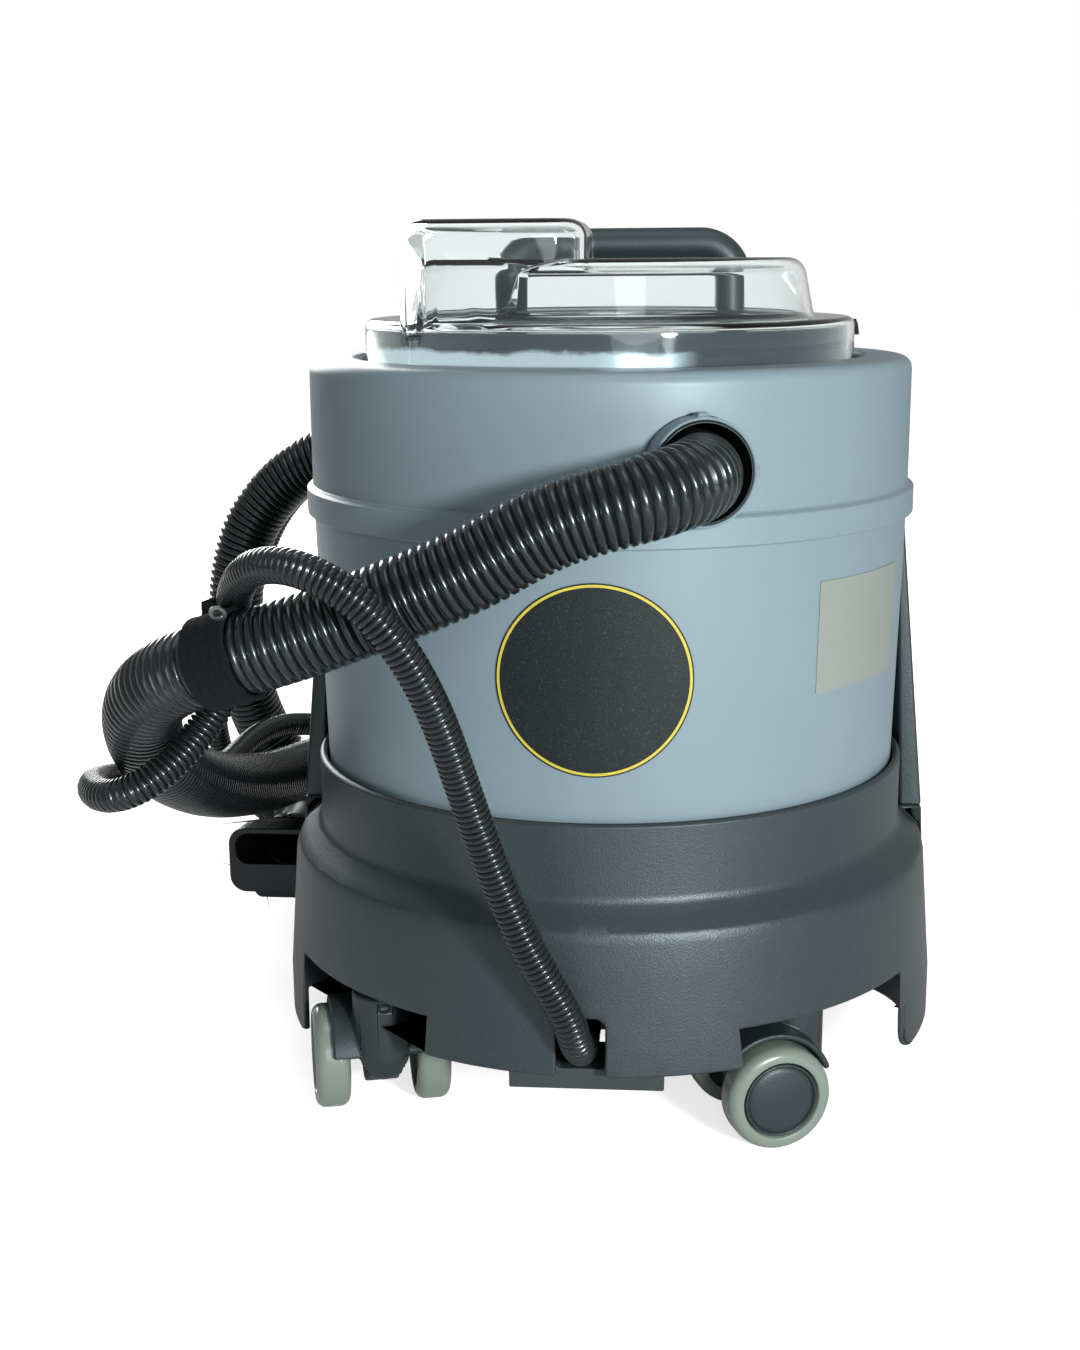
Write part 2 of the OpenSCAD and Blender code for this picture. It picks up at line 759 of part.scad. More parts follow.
module castor(c) {
    web = wheel_gap - wheel_w - 2;
    room = wheel_d / 2 + 1.5;
    color("#17191a") at_castor(c) difference() {
        union() {
            difference() {
                union() {
                    revolve([
                        [0, 25], [8, 25], [13, 29], [barrel_r - 0.5, 37], [barrel_r, 41], [barrel_r, barrel_top - 5],
                        [barrel_r - 1, barrel_top - 4], [barrel_r - 3, barrel_top - 4], [barrel_r - 3, barrel_top],
                        [0, barrel_top]
                    ]);
                    translate([trail, wheel_gap / 2 + 8, axle_z]) rotate([90, 0, 0]) linear_extrude(wheel_gap + 16)
                        intersection() {
                            circle(r = room + 3.5);
                            polygon([[0, 0], [60, 38], [60, 60], [-60, 60], [-60, 20]]);
                        }
                }
                for (side = [-1, 1]) translate([trail, side * (web / 2 + 20) - 20, axle_z]) along_y()
                    cylinder(r = room, h = 40);
            }
            translate([0, web / 2, 0]) rotate([90, 0, 0]) linear_extrude(web) {
                translate([trail, axle_z]) circle(r = 17);
                polygon([
                    [2, 60], [trail + 8, 60], [trail + 13, axle_z + 11],
                    [trail - 4, axle_z - 16], [trail - 13, axle_z - 9], [2, axle_z + 8]
                ]);
            }
            translate([0, 0, barrel_top - 1]) cylinder(d = stem_d, h = well_top + socket_h - 4 - barrel_top);
            translate([trail, -(wheel_gap + wheel_w) / 2 + 3, axle_z]) along_y()
                cylinder(d = axle_d, h = wheel_gap + wheel_w - 6);
        }
        translate([-barrel_r - 1, -3, barrel_top - 12]) cube([4, 6, 4]);
    }
}

// one wheel: side is +1 or -1 along the axle
module wheel(c, side) {
    r = wheel_d / 2;
    h = wheel_w / 2;
    shoulder_r = 5;
    color("#c3ccc2") at_castor(c) translate([trail, side * wheel_gap / 2, axle_z]) rotate([-90 * side, 0, 0])
        revolve(concat(
            [[axle_d / 2 + run, -h + 1], [r * 0.36, -h + 1], [r * 0.36, -h + 3], [r * 0.72, -h + 3], [r * 0.76, -h]],
            arc(r - shoulder_r, -h + shoulder_r, shoulder_r, -90, 0),
            arc(r - shoulder_r, h - shoulder_r, shoulder_r, 0, 90),
            [[r * 0.76, h], [r * 0.75, h - 2], [r * 0.71, h - 2], [r * 0.7, h - 0.6], [r * 0.3, h],
                [0, h], [0, h - 2.5], [axle_d / 2 + run, h - 2.5]]
        ));
}

// ---- tanks ----

module solution_tank() {
    top_r = tank_r;
    grade = (top_r - foot_r) / (rim_z - foot_z);
    color("#7f939c") difference() {
        union() {
            revolve([
                [0, foot_z], [foot_r - 6, foot_z], [foot_r - 1.5, foot_z + 2], [foot_r, foot_z + 6],
                [top_r - gap, rim_z - 1], [top_r - gap - 0.6, rim_z], [top_r - tank_wall, rim_z],
                [foot_r - tank_wall + 6 * grade, foot_z + 8], [foot_r - tank_wall - 6, foot_z + tank_wall],
                [0, foot_z + tank_wall]
            ]);
            translate([duct[0], duct[1], foot_z]) cylinder(r = tunnel_r, h = rim_z - foot_z - 6);
        }
        translate([duct[0], duct[1], foot_z - 1]) cylinder(r = tunnel_r - 3, h = rim_z);
        translate([valve_at[0], valve_at[1], foot_z - 1]) cylinder(r = 9, h = 20);
    }
}

module tank_valve() {
    color("#e4e4dc") translate([valve_at[0], valve_at[1], deck_z - 18]) {
        cylinder(r = 8.6, h = 18 + tank_wall);
        translate([0, 0, 18 + tank_wall]) cylinder(r = 13, h = 3);
        translate([0, 0, -9]) cylinder(r = 4.5, h = 10);
        translate([0, 0, 12]) cylinder(r = 8.7, h = 1);
    }
}

// radius of the solution tank's wall at a height
function wall_r(z) = foot_r + (tank_r - gap - foot_r) * (z - foot_z - 6) / (rim_z - 7 - foot_z);

label_z = 271;
label_r = 51.6;
label_t = 0.5;

module label_skin(low, high, angle = 360) {
    revolve([
        [wall_r(low) + 0.05, low], [wall_r(low) + 0.05 + label_t, low],
        [wall_r(high) + 0.05 + label_t, high], [wall_r(high) + 0.05, high]
    ], angle);
}

module round_label() {
    color("#15181a") intersection() {
        label_skin(label_z - label_r - 2, label_z + label_r + 2);
        translate([0, -tank_r - 20, label_z]) along_y() cylinder(r = label_r, h = 80);
    }
}

module side_label() {
    color("#b7bcbd") rotate(-47.6) label_skin(255, 316, 27.2);
}

// the direction straight out of the hose inlet
module at_cuff() {
    translate([0, 0, pick_z]) rotate(cuff_turn) rotate([90, 0, 0]) children();
}

module recovery_tank() {
    band_r = tank_r + band_out;
    color("#71858e") difference() {
        revolve(concat(
            [[0, floor_z], [tank_r + gap / 3, floor_z], [tank_r + gap, lip_low], [band_r - 0.6, lip_low],
                [band_r, lip_low + 0.6], [band_r, lip_top - 1], [band_r - 1, lip_top], [tank_r, lip_top + 1]],
            arc(tank_r - shoulder, seat_z - 3 - shoulder, shoulder, 0, 80),
            [[lid_r + 4, seat_z - 1], [lid_r + 2.5, seat_z], [neck_r, seat_z], [neck_r, seat_z - 4]],
            arc(tank_r - shoulder, seat_z - 3 - shoulder, shoulder - tank_wall, 80, 0),
            [[tank_r - tank_wall, floor_z + 8], [tank_r - tank_wall - 6, floor_z + tank_wall], [0, floor_z + tank_wall]]
        ));
        at_cuff() translate([0, 0, tank_r - 15]) cylinder(r = cuff_r + 0.2, h = 40);
        translate([duct[0], duct[1], floor_z - 1]) cylinder(r = pipe_r + 0.2, h = 20);
    }
}

cuff_face = tank_r + 14;

module hose_cuff() {
    color("#6f8087") at_cuff() difference() {
        union() {
            translate([0, 0, tank_r - 10]) cylinder(r = cuff_r, h = cuff_face - tank_r + 10);
            translate([-3, cuff_r - 2, cuff_face - 9]) cube([6, 4, 7]);
            translate([cuff_r - 2, -3, cuff_face - 9]) cube([4, 6, 7]);
        }
        translate([0, 0, tank_r - 20]) cylinder(r = ring_r + 0.05, h = 60);
    }
}

module cuff_ring() {
    low = tank_r - 32;
    color("#0e1011") at_cuff() translate([0, 0, low]) revolve([
        [hose_d / 2 - 4, 0], [ring_r, 0], [ring_r, cuff_face - low - 1], [ring_r - 0.6, cuff_face - low],
        [ring_r - 1.2, cuff_face - low], [hose_d / 2 + 3.5, cuff_face - low - 5], [hose_d / 2 + gap + 0.4, 22],
        [hose_d / 2 + gap, 4.3], [hose_d / 2 - 4, 4.3]
    ]);
}

module standpipe() {
    color("#2b2f31") translate([duct[0], duct[1], 0]) difference() {
        union() {
            translate([0, 0, floor_z - 12]) cylinder(r = pipe_r, h = intake_z - floor_z + 12);
            translate([0, 0, floor_z - 12]) cylinder(r = tunnel_r - 3 - gap, h = 6 - gap);
            translate([0, 0, floor_z + tank_wall]) cylinder(r = pipe_r + 8, h = 4);
        }
        translate([0, 0, floor_z - 13]) cylinder(r = pipe_r - 2.5, h = intake_z);
    }
}

module obround(x0, x1, r, h) {
    translate([x0, 0, 0]) cylinder(r = r, h = h);
    translate([x1, 0, 0]) cylinder(r = r, h = h);
    translate([x0, -r, 0]) cube([x1 - x0, 2 * r, h]);
}

module intake_head() {
    color("#2b2f31") translate([0, duct[1], intake_z]) difference() {
        obround(duct[0], intake_x, pipe_r + 5, intake_h);
        translate([0, 0, 4]) obround(duct[0], intake_x, pipe_r + 2, intake_h - 7);
        translate([duct[0], 0, -1]) cylinder(r = pipe_r - 2.5, h = 8);
        translate([intake_x, 0, -1]) cylinder(r = seat_r, h = 8);
    }
}

cage_low = intake_z - float_d - float_travel - 4;

module float_cage() {
    color("#3b4042") translate([intake_x, duct[1], cage_low]) {
        cylinder(r = cage_r + cage_rod + 0.8, h = 3);
        for (a = [45:90:315]) rotate(a) translate([cage_r, 0, 0]) cylinder(r = cage_rod, h = intake_z - cage_low);
        translate([0, 0, intake_z - cage_low - 3]) ring(cage_r + cage_rod + 0.8, cage_r - cage_rod - 0.8, 3);
    }
}

module float_ball() {
    color("#e9e4d2") translate([intake_x, duct[1], cage_low + 3 + gap + float_d / 2]) sphere(d = float_d);
}

module neck_ring() {
    color("#b8bcbc") translate([0, 0, seat_z])
        ring(neck_ring_r, neck_ring_r - ring_wall, shelf_z - lid_wall - 1.5 - seat_z);
}

module lid_gasket() {
    color("#c9d0c8") translate([0, 0, gasket_z]) ring(lid_r + 0.5, neck_ring_r + gap, gasket_h);
}

// ---- lid ----

module lid_skin(inset) {
    w = inset;
    bend = 11;
    edge = 5;
    top_r = dome_r - 1.5;
    revolve(concat(
        [[0, skirt_z - (w > 0 ? 1 : 0)], [lid_r - w, skirt_z - (w > 0 ? 1 : 0)]],
        arc(lid_r - edge, shelf_z - edge, edge - min(w, edge - 1), 0, 90),
        [[dome_r + 2 - w, shelf_z - w], [dome_r - w, shelf_z + 2 - w]],
        arc(top_r - bend, dome_z - bend, bend - w, 5, 90),
        [[0, dome_z - w]]
    ));
}

module tall_slab(z, inset, draft) {
    x = tall_w / 2 - inset - draft;
    y = tall_d / 2 - inset - draft;
    r = 20 - inset;
    for (sx = [-1, 1]) for (sy = [-1, 1])
        translate([tall_mid[0] + sx * (x - r), tall_mid[1] + sy * (y - r), z]) cylinder(r = r, h = eps, $fn = 40);
}

module tall_part(inset) {
    hull() {
        tall_slab(shelf_z - lid_wall, inset, 0);
        tall_slab(tall_z - 10 - inset, inset, 3);
        tall_slab(tall_z - 3 - inset, inset, 6);
        tall_slab(tall_z - inset - eps, inset, 12);
    }
}

module clear_lid() {
    color("#9fb8ac", 0.4) difference() {
        union() {
            lid_skin(0);
            tall_part(0);
        }
        lid_skin(lid_wall);
        tall_part(lid_wall);
    }
}

module lid_tab() {
    color("#151515") rotate(12) translate([lid_r + gap, -7, shelf_z - 12]) rotate([90, 0, 90])
        linear_extrude(7) polygon([[0, 0], [14, 0], [11, 6], [7, 9], [3, 6]]);
}

// ---- hoses ----

module vacuum_hose() {
    color("#111415") ribbed(hose_route, hose_d, hose_rib, hose_ribs, hose_d - 9, 57);
}

module solution_hose() {
    color("#16191a") ribbed(line_route, line_d, line_rib, line_ribs, line_d - 8, 48, 8);
}

strap_w = 25;

// a place on the vacuum hose, with Z along the hose
module on_hose(s) {
    c = spline(hose_route, 8);
    tab = tables(c, lengths(c));
    d = heading(tab, s);
    translate(at(tab, s)) rotate([0, acos(d[2]), atan2(d[1], d[0])]) children();
}

module at_strap() {
    on_hose(strap_along) children();
}

module hose_strap() {
    color("#1a1a1a") at_strap() translate([0, 0, -strap_w / 2]) {
        ring(hose_d / 2 + 2.6, hose_d / 2 + gap, strap_w);
        rotate(150) translate([hose_d / 2 + 1, -1.2, 0]) cube([11, 2.4, strap_w]);
    }
}

module strap_eyelet() {
    color("#c9c9c4") at_strap() rotate(150) translate([hose_d / 2 + 7, -2.2, 0]) along_y()
        ring(4.4, 2.6, 1);
}

module hose_hook() {
    color("#4a4f52") {
        translate([hook_x, rear_y, hook_z]) along_y() {
            rotate(-115) rotate_extrude(angle = 50) translate([hook_out - hook_wall, 0]) polygon([
                [0, 1], [hook_wall, 1], [hook_wall, hook_len], [hook_wall + 16, hook_len],
                [hook_wall + 16, hook_len + hook_wall], [0, hook_len + hook_wall]
            ]);
        }
        difference() {
            translate([hook_x - 2, rear_y, hook_plate_z - 14]) cube([86, hook_wall, 28]);
            for (x = hook_screws) translate([x, rear_y - 1, hook_plate_z]) along_y() cylinder(r = 1.7, h = 9);
        }
    }
}

// ---- hand tool ----

head_z = tool_z;
head_y = 130;
socket_d = hose_d + 2 * gap + 5.4;

module tool_holster() {
    y = pin_y - 17;
    color("#1d2224") {
        difference() {
            translate([tool_x, y, tool_z]) along_y() ring(grip_r + holster_wall, grip_r + gap, 10);
            translate([tool_x - 40, y - 5, tool_z + 6]) cube([80, 30, 40]);
        }
        difference() {
            translate([tool_x + grip_r + 1, y, tool_z - 8]) cube([60, 10, 14]);
            translate([-flank(tool_z) + rear_round, rear_y - rear_round, 0]) cylinder(r = rear_round + 2 * gap, h = tool_z * 2);
            translate([-flank(tool_z) + rear_round - 18, y - 5, 0]) cube([60, 30, tool_z * 2]);
        }
    }
}

module head_slab(y, w, low, high, r) {
    for (sx = [-1, 1]) for (z = [low + r, high - r])
        translate([tool_x + sx * (w / 2 - r), y, z]) along_y() cylinder(r = r, h = eps, $fn = 32);
}

module tool_head() {
    low = head_z - 24;
    high = head_z + 24;
    color("#15181a") difference() {
        union() {
            hull() {
                head_slab(head_y, mouth_w, low, high, 12);
                head_slab(head_y + 18, mouth_w - 4, low + 2, high, 14);
                head_slab(head_y + 36, 2 * grip_r + 8, head_z - grip_r - 4, head_z + grip_r + 4, grip_r + 3);
            }
            translate([tool_x, head_y + 30, head_z]) along_y() cylinder(r = grip_r + 4, h = 20);
            hull() {
                for (x = [-14, 14]) translate([tool_x + x, head_y + 14, head_z - 27]) along_y() cylinder(r = 6, h = 5, $fn = 32);
                for (x = [-20, 20]) translate([tool_x + x, head_y + 14, head_z - 18]) along_y() cylinder(r = 6, h = 5, $fn = 32);
            }
        }
        hull() {
            head_slab(head_y - 1, mouth_w - 10, head_z - 2, high - 4, 8);
            head_slab(head_y + 30, 2 * grip_r - 6, head_z - 13, head_z + 13, 12);
        }
        translate([tool_x, head_y + 20, head_z]) along_y() cylinder(r = grip_r - 2, h = 40);
        translate([tool_x, head_y + 38, head_z]) along_y() cylinder(r = grip_r + gap / 3, h = 40);
        translate([tool_x - 4, head_y + 10, head_z - 22.5]) along_y() cylinder(r = 3.4, h = 12);
        translate([tool_x + jet_x, head_y + 10, line_z + 7]) along_y() cylinder(r = 3.2, h = 12);
    }
}

module tool_tube() {
    shoulder_y = tail_y - 6;
    color("#1a1d1f") difference() {
        union() {
            translate([tool_x, head_y + 38 + gap, tool_z]) along_y() cylinder(r = grip_r, h = shoulder_y - head_y - 38);
            translate([tool_x, shoulder_y, tool_z]) along_y() cylinder(d = socket_d, h = 30);
            for (side = [-1, 1]) translate([tool_x + side * 10 - 1.5, pin_y - 5, pin_z - 5]) cube([3, 10, tool_z - pin_z + 5]);
            translate([tool_x - 2, 212, line_z + 6]) cube([4, 16, tool_z - line_z - 6]);
        }
        translate([tool_x, head_y, tool_z]) along_y() cylinder(r = grip_r - 2, h = 200);
        translate([tool_x, tail_y - gap, tool_z]) along_y() cylinder(r = hose_d / 2 + gap, h = 60);
        translate([tool_x - 20, pin_y, pin_z]) along_x() cylinder(r = 1.6, h = 40);
        translate([tool_x, 200, line_z]) along_y() cylinder(r = 9 + eps, h = 40);
    }
}

pin_z = 30;
pin_y = 201;
stem_y = 216;
valve_y = 210;
jet_x = 15.5;
lever_drop = 12.6;

module tool_valve() {
    color("#b08d45") difference() {
        union() {
            translate([tool_x, valve_y, line_z]) along_y() cylinder(r = 9, h = line_end - valve_y);
            translate([tool_x + jet_x, head_y + 19, line_z + 7]) along_y() cylinder(r = 2.4, h = valve_y - head_y - 14);
            translate([tool_x, valve_y, line_z + 4.6]) cube([jet_x + 2, 6, 4.8]);
        }
        translate([tool_x, stem_y, 0]) cylinder(r = 2 + run, h = line_z + 1);
    }
}

module valve_stem() {
    color("silver") translate([tool_x, stem_y, pin_z - lever_drop + gap]) cylinder(r = 2, h = 12);
}

module tool_trigger() {
    w = 16;
    color("#a0301f") difference() {
        translate([tool_x - w / 2, pin_y, pin_z]) rotate([90, 0, 90]) linear_extrude(w) polygon([
            [-4, -4], [-4, 3], [3, 4], [6, -6], [12, -lever_drop], [34, -lever_drop],
            [36, -lever_drop - 2.4], [34, -lever_drop - 4.4], [10, -lever_drop - 3.4], [3, -10]
        ]);
        translate([tool_x - 20, pin_y, pin_z]) along_x() cylinder(r = 1.5 + run, h = 40);
    }
}

module trigger_pin() {
    color("silver") translate([tool_x - 13, pin_y, pin_z]) along_x() cylinder(r = 1.5, h = 26);
}

module spray_jet() {
    color("#b08d45") translate([tool_x + jet_x, head_y + 6, line_z + 7]) along_y() {
        translate([0, 0, 2]) cylinder(r = 3, h = 11 - gap);
        cylinder(r = 4, h = 7.7, $fn = 6);
    }
}

place() base_shell();
place() bottom_plate();
place() case_screws();
place() rear_tower();
place() shell_rivets();
place() pull_handle();
place() switch_panel();
place() vacuum_switch();
place() pump_switch();
place() cord_gland();
place() fan_housing();
place() motor_body();
place() impeller();
place() motor_gasket();
place() motor_stand();
place() solution_pump();
place() pump_bracket();
place() outlet_fitting();
place() tunnel_gasket();
place() castor(castor_fl);
place() castor(castor_fr);
place() castor(castor_rl);
place() castor(castor_rr);
place() wheel(castor_fl, 1);  // wheel_fl_in
place() wheel(castor_fl, -1);  // wheel_fl_out
place() wheel(castor_fr, 1);  // wheel_fr_in
place() wheel(castor_fr, -1);  // wheel_fr_out
place() wheel(castor_rl, 1);  // wheel_rl_in
place() wheel(castor_rl, -1);  // wheel_rl_out
place() wheel(castor_rr, 1);  // wheel_rr_in
place() wheel(castor_rr, -1);  // wheel_rr_out
place() solution_tank();
place() tank_valve();
place() round_label();
place() side_label();
place() recovery_tank();
place() hose_cuff();
place() cuff_ring();
place() standpipe();
place() intake_head();
place() float_cage();
place() float_ball();
place() neck_ring();
place() lid_gasket();
place() clear_lid();
place() lid_tab();
place() vacuum_hose();
place() solution_hose();
place() hose_strap();
place() strap_eyelet();
place() hose_hook();
place() tool_holster();
place() tool_head();
place() tool_tube();
place() tool_valve();
place() valve_stem();
place() tool_trigger();
place() trigger_pin();
place() spray_jet();
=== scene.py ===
import json
import math
import bpy
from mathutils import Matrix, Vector

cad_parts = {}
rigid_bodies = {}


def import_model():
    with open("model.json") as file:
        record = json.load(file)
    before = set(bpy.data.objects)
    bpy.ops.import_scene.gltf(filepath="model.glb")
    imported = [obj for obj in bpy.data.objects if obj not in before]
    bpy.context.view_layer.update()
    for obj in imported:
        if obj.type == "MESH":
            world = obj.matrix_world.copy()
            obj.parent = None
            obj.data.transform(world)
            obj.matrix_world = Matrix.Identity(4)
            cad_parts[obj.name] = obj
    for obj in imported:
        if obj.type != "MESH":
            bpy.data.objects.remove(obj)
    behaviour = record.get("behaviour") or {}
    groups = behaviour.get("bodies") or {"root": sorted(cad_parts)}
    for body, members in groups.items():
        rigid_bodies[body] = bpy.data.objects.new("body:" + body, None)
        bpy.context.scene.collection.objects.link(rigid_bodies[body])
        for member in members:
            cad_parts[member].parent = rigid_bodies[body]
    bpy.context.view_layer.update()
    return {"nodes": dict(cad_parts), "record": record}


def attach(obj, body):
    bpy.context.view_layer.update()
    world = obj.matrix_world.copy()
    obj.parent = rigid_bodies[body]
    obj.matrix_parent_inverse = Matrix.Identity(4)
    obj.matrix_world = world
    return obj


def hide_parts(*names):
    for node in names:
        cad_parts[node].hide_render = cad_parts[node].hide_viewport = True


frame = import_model()

nodes = frame["nodes"]
axisX, axisY = 0.032, -0.0685  # where the tanks' axis stands


def spot(x, y, z):
    # a place given from the foot of the tanks' axis
    return Vector((x + axisX, y + axisY, z))


def pickNone():
    if bpy.context.object and bpy.context.object.mode != "OBJECT":
        bpy.ops.object.mode_set(mode="OBJECT")
    bpy.ops.object.select_all(action="DESELECT")


def pickOnly(piece):
    pickNone()
    piece.select_set(True)
    bpy.context.view_layer.objects.active = piece


# camera

camera = {
    "place": (0.0468, -1.0728, 0.482),
    "turn": (77.04, 0.429, 4.631),
    "lens": 48,
    "sensor": 36,
    "reach": (0.01, 50),  # nearest and farthest that it sees
}

lens = bpy.data.cameras.new("camera")
eye = bpy.data.objects.new("camera", lens)
bpy.context.scene.collection.objects.link(eye)
eye.location = spot(*camera["place"])
eye.rotation_euler = [math.radians(a) for a in camera["turn"]]
lens.lens = camera["lens"]
lens.sensor_fit = "VERTICAL"
lens.sensor_height = lens.sensor_width = camera["sensor"]
lens.clip_start, lens.clip_end = camera["reach"]
bpy.context.scene.camera = eye
print("camera placed")

# nodes of the finishes


def setValues(node, values):
    for label, value in values.items():
        node.inputs[label].default_value = value


def addNode(tree, kind, **values):
    # a node with its sockets and settings
    node = tree.nodes.new(kind)
    for label, value in values.items():
        if label in node.inputs:
            node.inputs[label].default_value = value
        else:
            setattr(node, label, value)
    return node


def addSpan(tree, low=0.0, high=1.0, first=0.0, last=1.0):
    # low to high becomes first to last
    span = addNode(tree, "ShaderNodeMapRange")
    setValues(span, {"From Min": low, "From Max": high, "To Min": first, "To Max": last})
    return span


def addMaterial(name):
    material = bpy.data.materials.new(name)
    material.use_nodes = True
    tree = material.node_tree
    return material, tree, tree.nodes["Principled BSDF"]


grainLook = {
    "fine": {"Scale": 1400.0, "Detail": 2.0, "Roughness": 0.6},
    "fleckFrom": 0.6, "fleckTo": 0.82,
    "patches": {"Scale": 9.0, "Detail": 4.0, "Roughness": 0.55},
}


def mouldGrainGroup():
    # pebbled grain of a moulded shell, a mask of light flecks and wide patches
    group = bpy.data.node_groups.new("mouldGrain", "ShaderNodeTree")
    for label, value in (("Scale", 900.0), ("Fleck", 0.5)):
        socket = group.interface.new_socket(
            name=label, in_out="INPUT", socket_type="NodeSocketFloat")
        socket.default_value = value
    for label in ("Height", "Flecks", "Patches"):
        group.interface.new_socket(name=label, in_out="OUTPUT", socket_type="NodeSocketFloat")
    start = group.nodes.new("NodeGroupInput")
    end = group.nodes.new("NodeGroupOutput")
    link = group.links.new
    place = addNode(group, "ShaderNodeTexCoord")
    pebble = addNode(group, "ShaderNodeTexVoronoi", Randomness=1.0, feature="SMOOTH_F1")
    link(place.outputs["Object"], pebble.inputs["Vector"])
    link(start.outputs["Scale"], pebble.inputs["Scale"])
    link(pebble.outputs["Distance"], end.inputs["Height"])
    fine = addNode(group, "ShaderNodeTexNoise", **grainLook["fine"])
    link(place.outputs["Object"], fine.inputs["Vector"])
    fleck = addSpan(group, grainLook["fleckFrom"], grainLook["fleckTo"])
    link(fine.outputs["Fac"], fleck.inputs["Value"])
    weigh = addNode(group, "ShaderNodeMath", operation="MULTIPLY")
    link(fleck.outputs[0], weigh.inputs[0])
    link(start.outputs["Fleck"], weigh.inputs[1])
    link(weigh.outputs[0], end.inputs["Flecks"])
    wide = addNode(group, "ShaderNodeTexNoise", **grainLook["patches"])
    link(place.outputs["Object"], wide.inputs["Vector"])
    link(wide.outputs["Fac"], end.inputs["Patches"])
    return group


mouldGrain = mouldGrainGroup()

surface = {
    "coatRough": 0.12,
    "tint": (0.82, 0.97, 1.0, 1),  # of the highlights on all but metal
    "glossVary": 0.06,
    "grainHeight": 0.0004,
}


def finish(name, colour, rough, metal=0.0, grain=0.0, scale=900.0, fleck=0.0,
           fleckColour=None, vary=0.25, coat=0.0, specular=0.5):
    # a surface with grain, faint flecks and slow changes of tone and gloss
    material, tree, shader = addMaterial(name)
    link = tree.links.new
    setValues(shader, {"Metallic": metal, "Coat Weight": coat,
                       "Coat Roughness": surface["coatRough"], "Specular IOR Level": specular})
    if not metal:
        setValues(shader, {"Specular Tint": surface["tint"]})
    texture = addNode(tree, "ShaderNodeGroup", node_tree=mouldGrain)
    setValues(texture, {"Scale": scale, "Fleck": fleck})
    darker = [c * (1 - vary) for c in colour]
    paler = [min(1, c * (1 + vary)) for c in colour]
    tone = addNode(tree, "ShaderNodeMix", data_type="RGBA")
    setValues(tone, {"A": (*darker, 1), "B": (*paler, 1)})
    link(texture.outputs["Patches"], tone.inputs["Factor"])
    fleckColour = fleckColour or [min(1, c * 2.5 + 0.02) for c in colour]
    speck = addNode(tree, "ShaderNodeMix", data_type="RGBA")
    setValues(speck, {"B": (*fleckColour, 1)})
    link(tone.outputs["Result"], speck.inputs["A"])
    link(texture.outputs["Flecks"], speck.inputs["Factor"])
    link(speck.outputs["Result"], shader.inputs["Base Color"])
    gloss = addSpan(tree, first=max(0.02, rough - surface["glossVary"]),
                    last=min(1, rough + surface["glossVary"]))
    link(texture.outputs["Patches"], gloss.inputs["Value"])
    link(gloss.outputs[0], shader.inputs["Roughness"])
    if grain:
        bump = addNode(tree, "ShaderNodeBump", Strength=grain, Distance=surface["grainHeight"])
        link(texture.outputs["Height"], bump.inputs["Height"])
        link(bump.outputs["Normal"], shader.inputs["Normal"])
    return material


finishes = {
    "black_shell": finish("shellBlack", (0.018, 0.026, 0.029), 0.45, grain=0.3, scale=1100,
                          fleck=0.6, fleckColour=(0.12, 0.15, 0.157), specular=0.75),
    "grey_tank": finish("tankGrey", (0.190, 0.262, 0.298), 0.42, grain=0.06, scale=1800,
                        vary=0.06),
    "gasket_pale": finish("gasketPale", (0.44, 0.53, 0.56), 0.45, grain=0.1),
    "black_gloss": finish("glossBlack", (0.012, 0.013, 0.014), 0.28, grain=0.05, vary=0.1),
    "label_silver": finish("labelSilver", (0.24, 0.27, 0.245), 0.4, grain=0.08, vary=0.1),
    "hose_black": finish("hoseBlack", (0.006, 0.0075, 0.0085), 0.25, grain=0.05, vary=0.15,
                         coat=0.25),
    "strap_fabric": finish("strapCloth", (0.006, 0.006, 0.007), 0.95, grain=1.0, scale=1300,
                           fleck=0.5, fleckColour=(0.05, 0.055, 0.06), specular=0.2),
    "castor_black": finish("castorBlack", (0.022, 0.030, 0.033), 0.42, grain=0.25, scale=1300,
                           fleck=0.3),
    "wheel_grey": finish("treadGrey", (0.20, 0.25, 0.21), 0.25, grain=0.02, vary=0.07, coat=0.4),
    "zinc": finish("zincSteel", (0.27, 0.28, 0.29), 0.33, metal=1.0, grain=0.05),
    "brass": finish("brass", (0.50, 0.36, 0.15), 0.32, metal=1.0, grain=0.05),
    "motor_dark": finish("motorDark", (0.04, 0.044, 0.05), 0.45, grain=0.15),
    "seal_black": finish("sealBlack", (0.012, 0.012, 0.012), 0.75, grain=0.2),
    "duct_dark": finish("ductDark", (0.03, 0.034, 0.038), 0.45, grain=0.1),
    "valve_white": finish("valveWhite", (0.55, 0.55, 0.50), 0.4, grain=0.05, vary=0.08),
    "trigger_red": finish("triggerRed", (0.24, 0.012, 0.008), 0.35, grain=0.08),
    "rivet_pale": finish("rivetPale", (0.50, 0.54, 0.51), 0.35, grain=0.05, vary=0.08),
    "plate_grey": finish("plateGrey", (0.035, 0.042, 0.045), 0.45, grain=0.2),
}

lidLook = {
    "colour": (0.91, 0.955, 0.95), "rough": 0.012, "bending": 1.38,
    "smear": {"Scale": 14.0, "Detail": 5.0, "Roughness": 0.6},
    "smearFrom": 0.45, "smearTo": 0.75, "smearRough": 0.07,
}


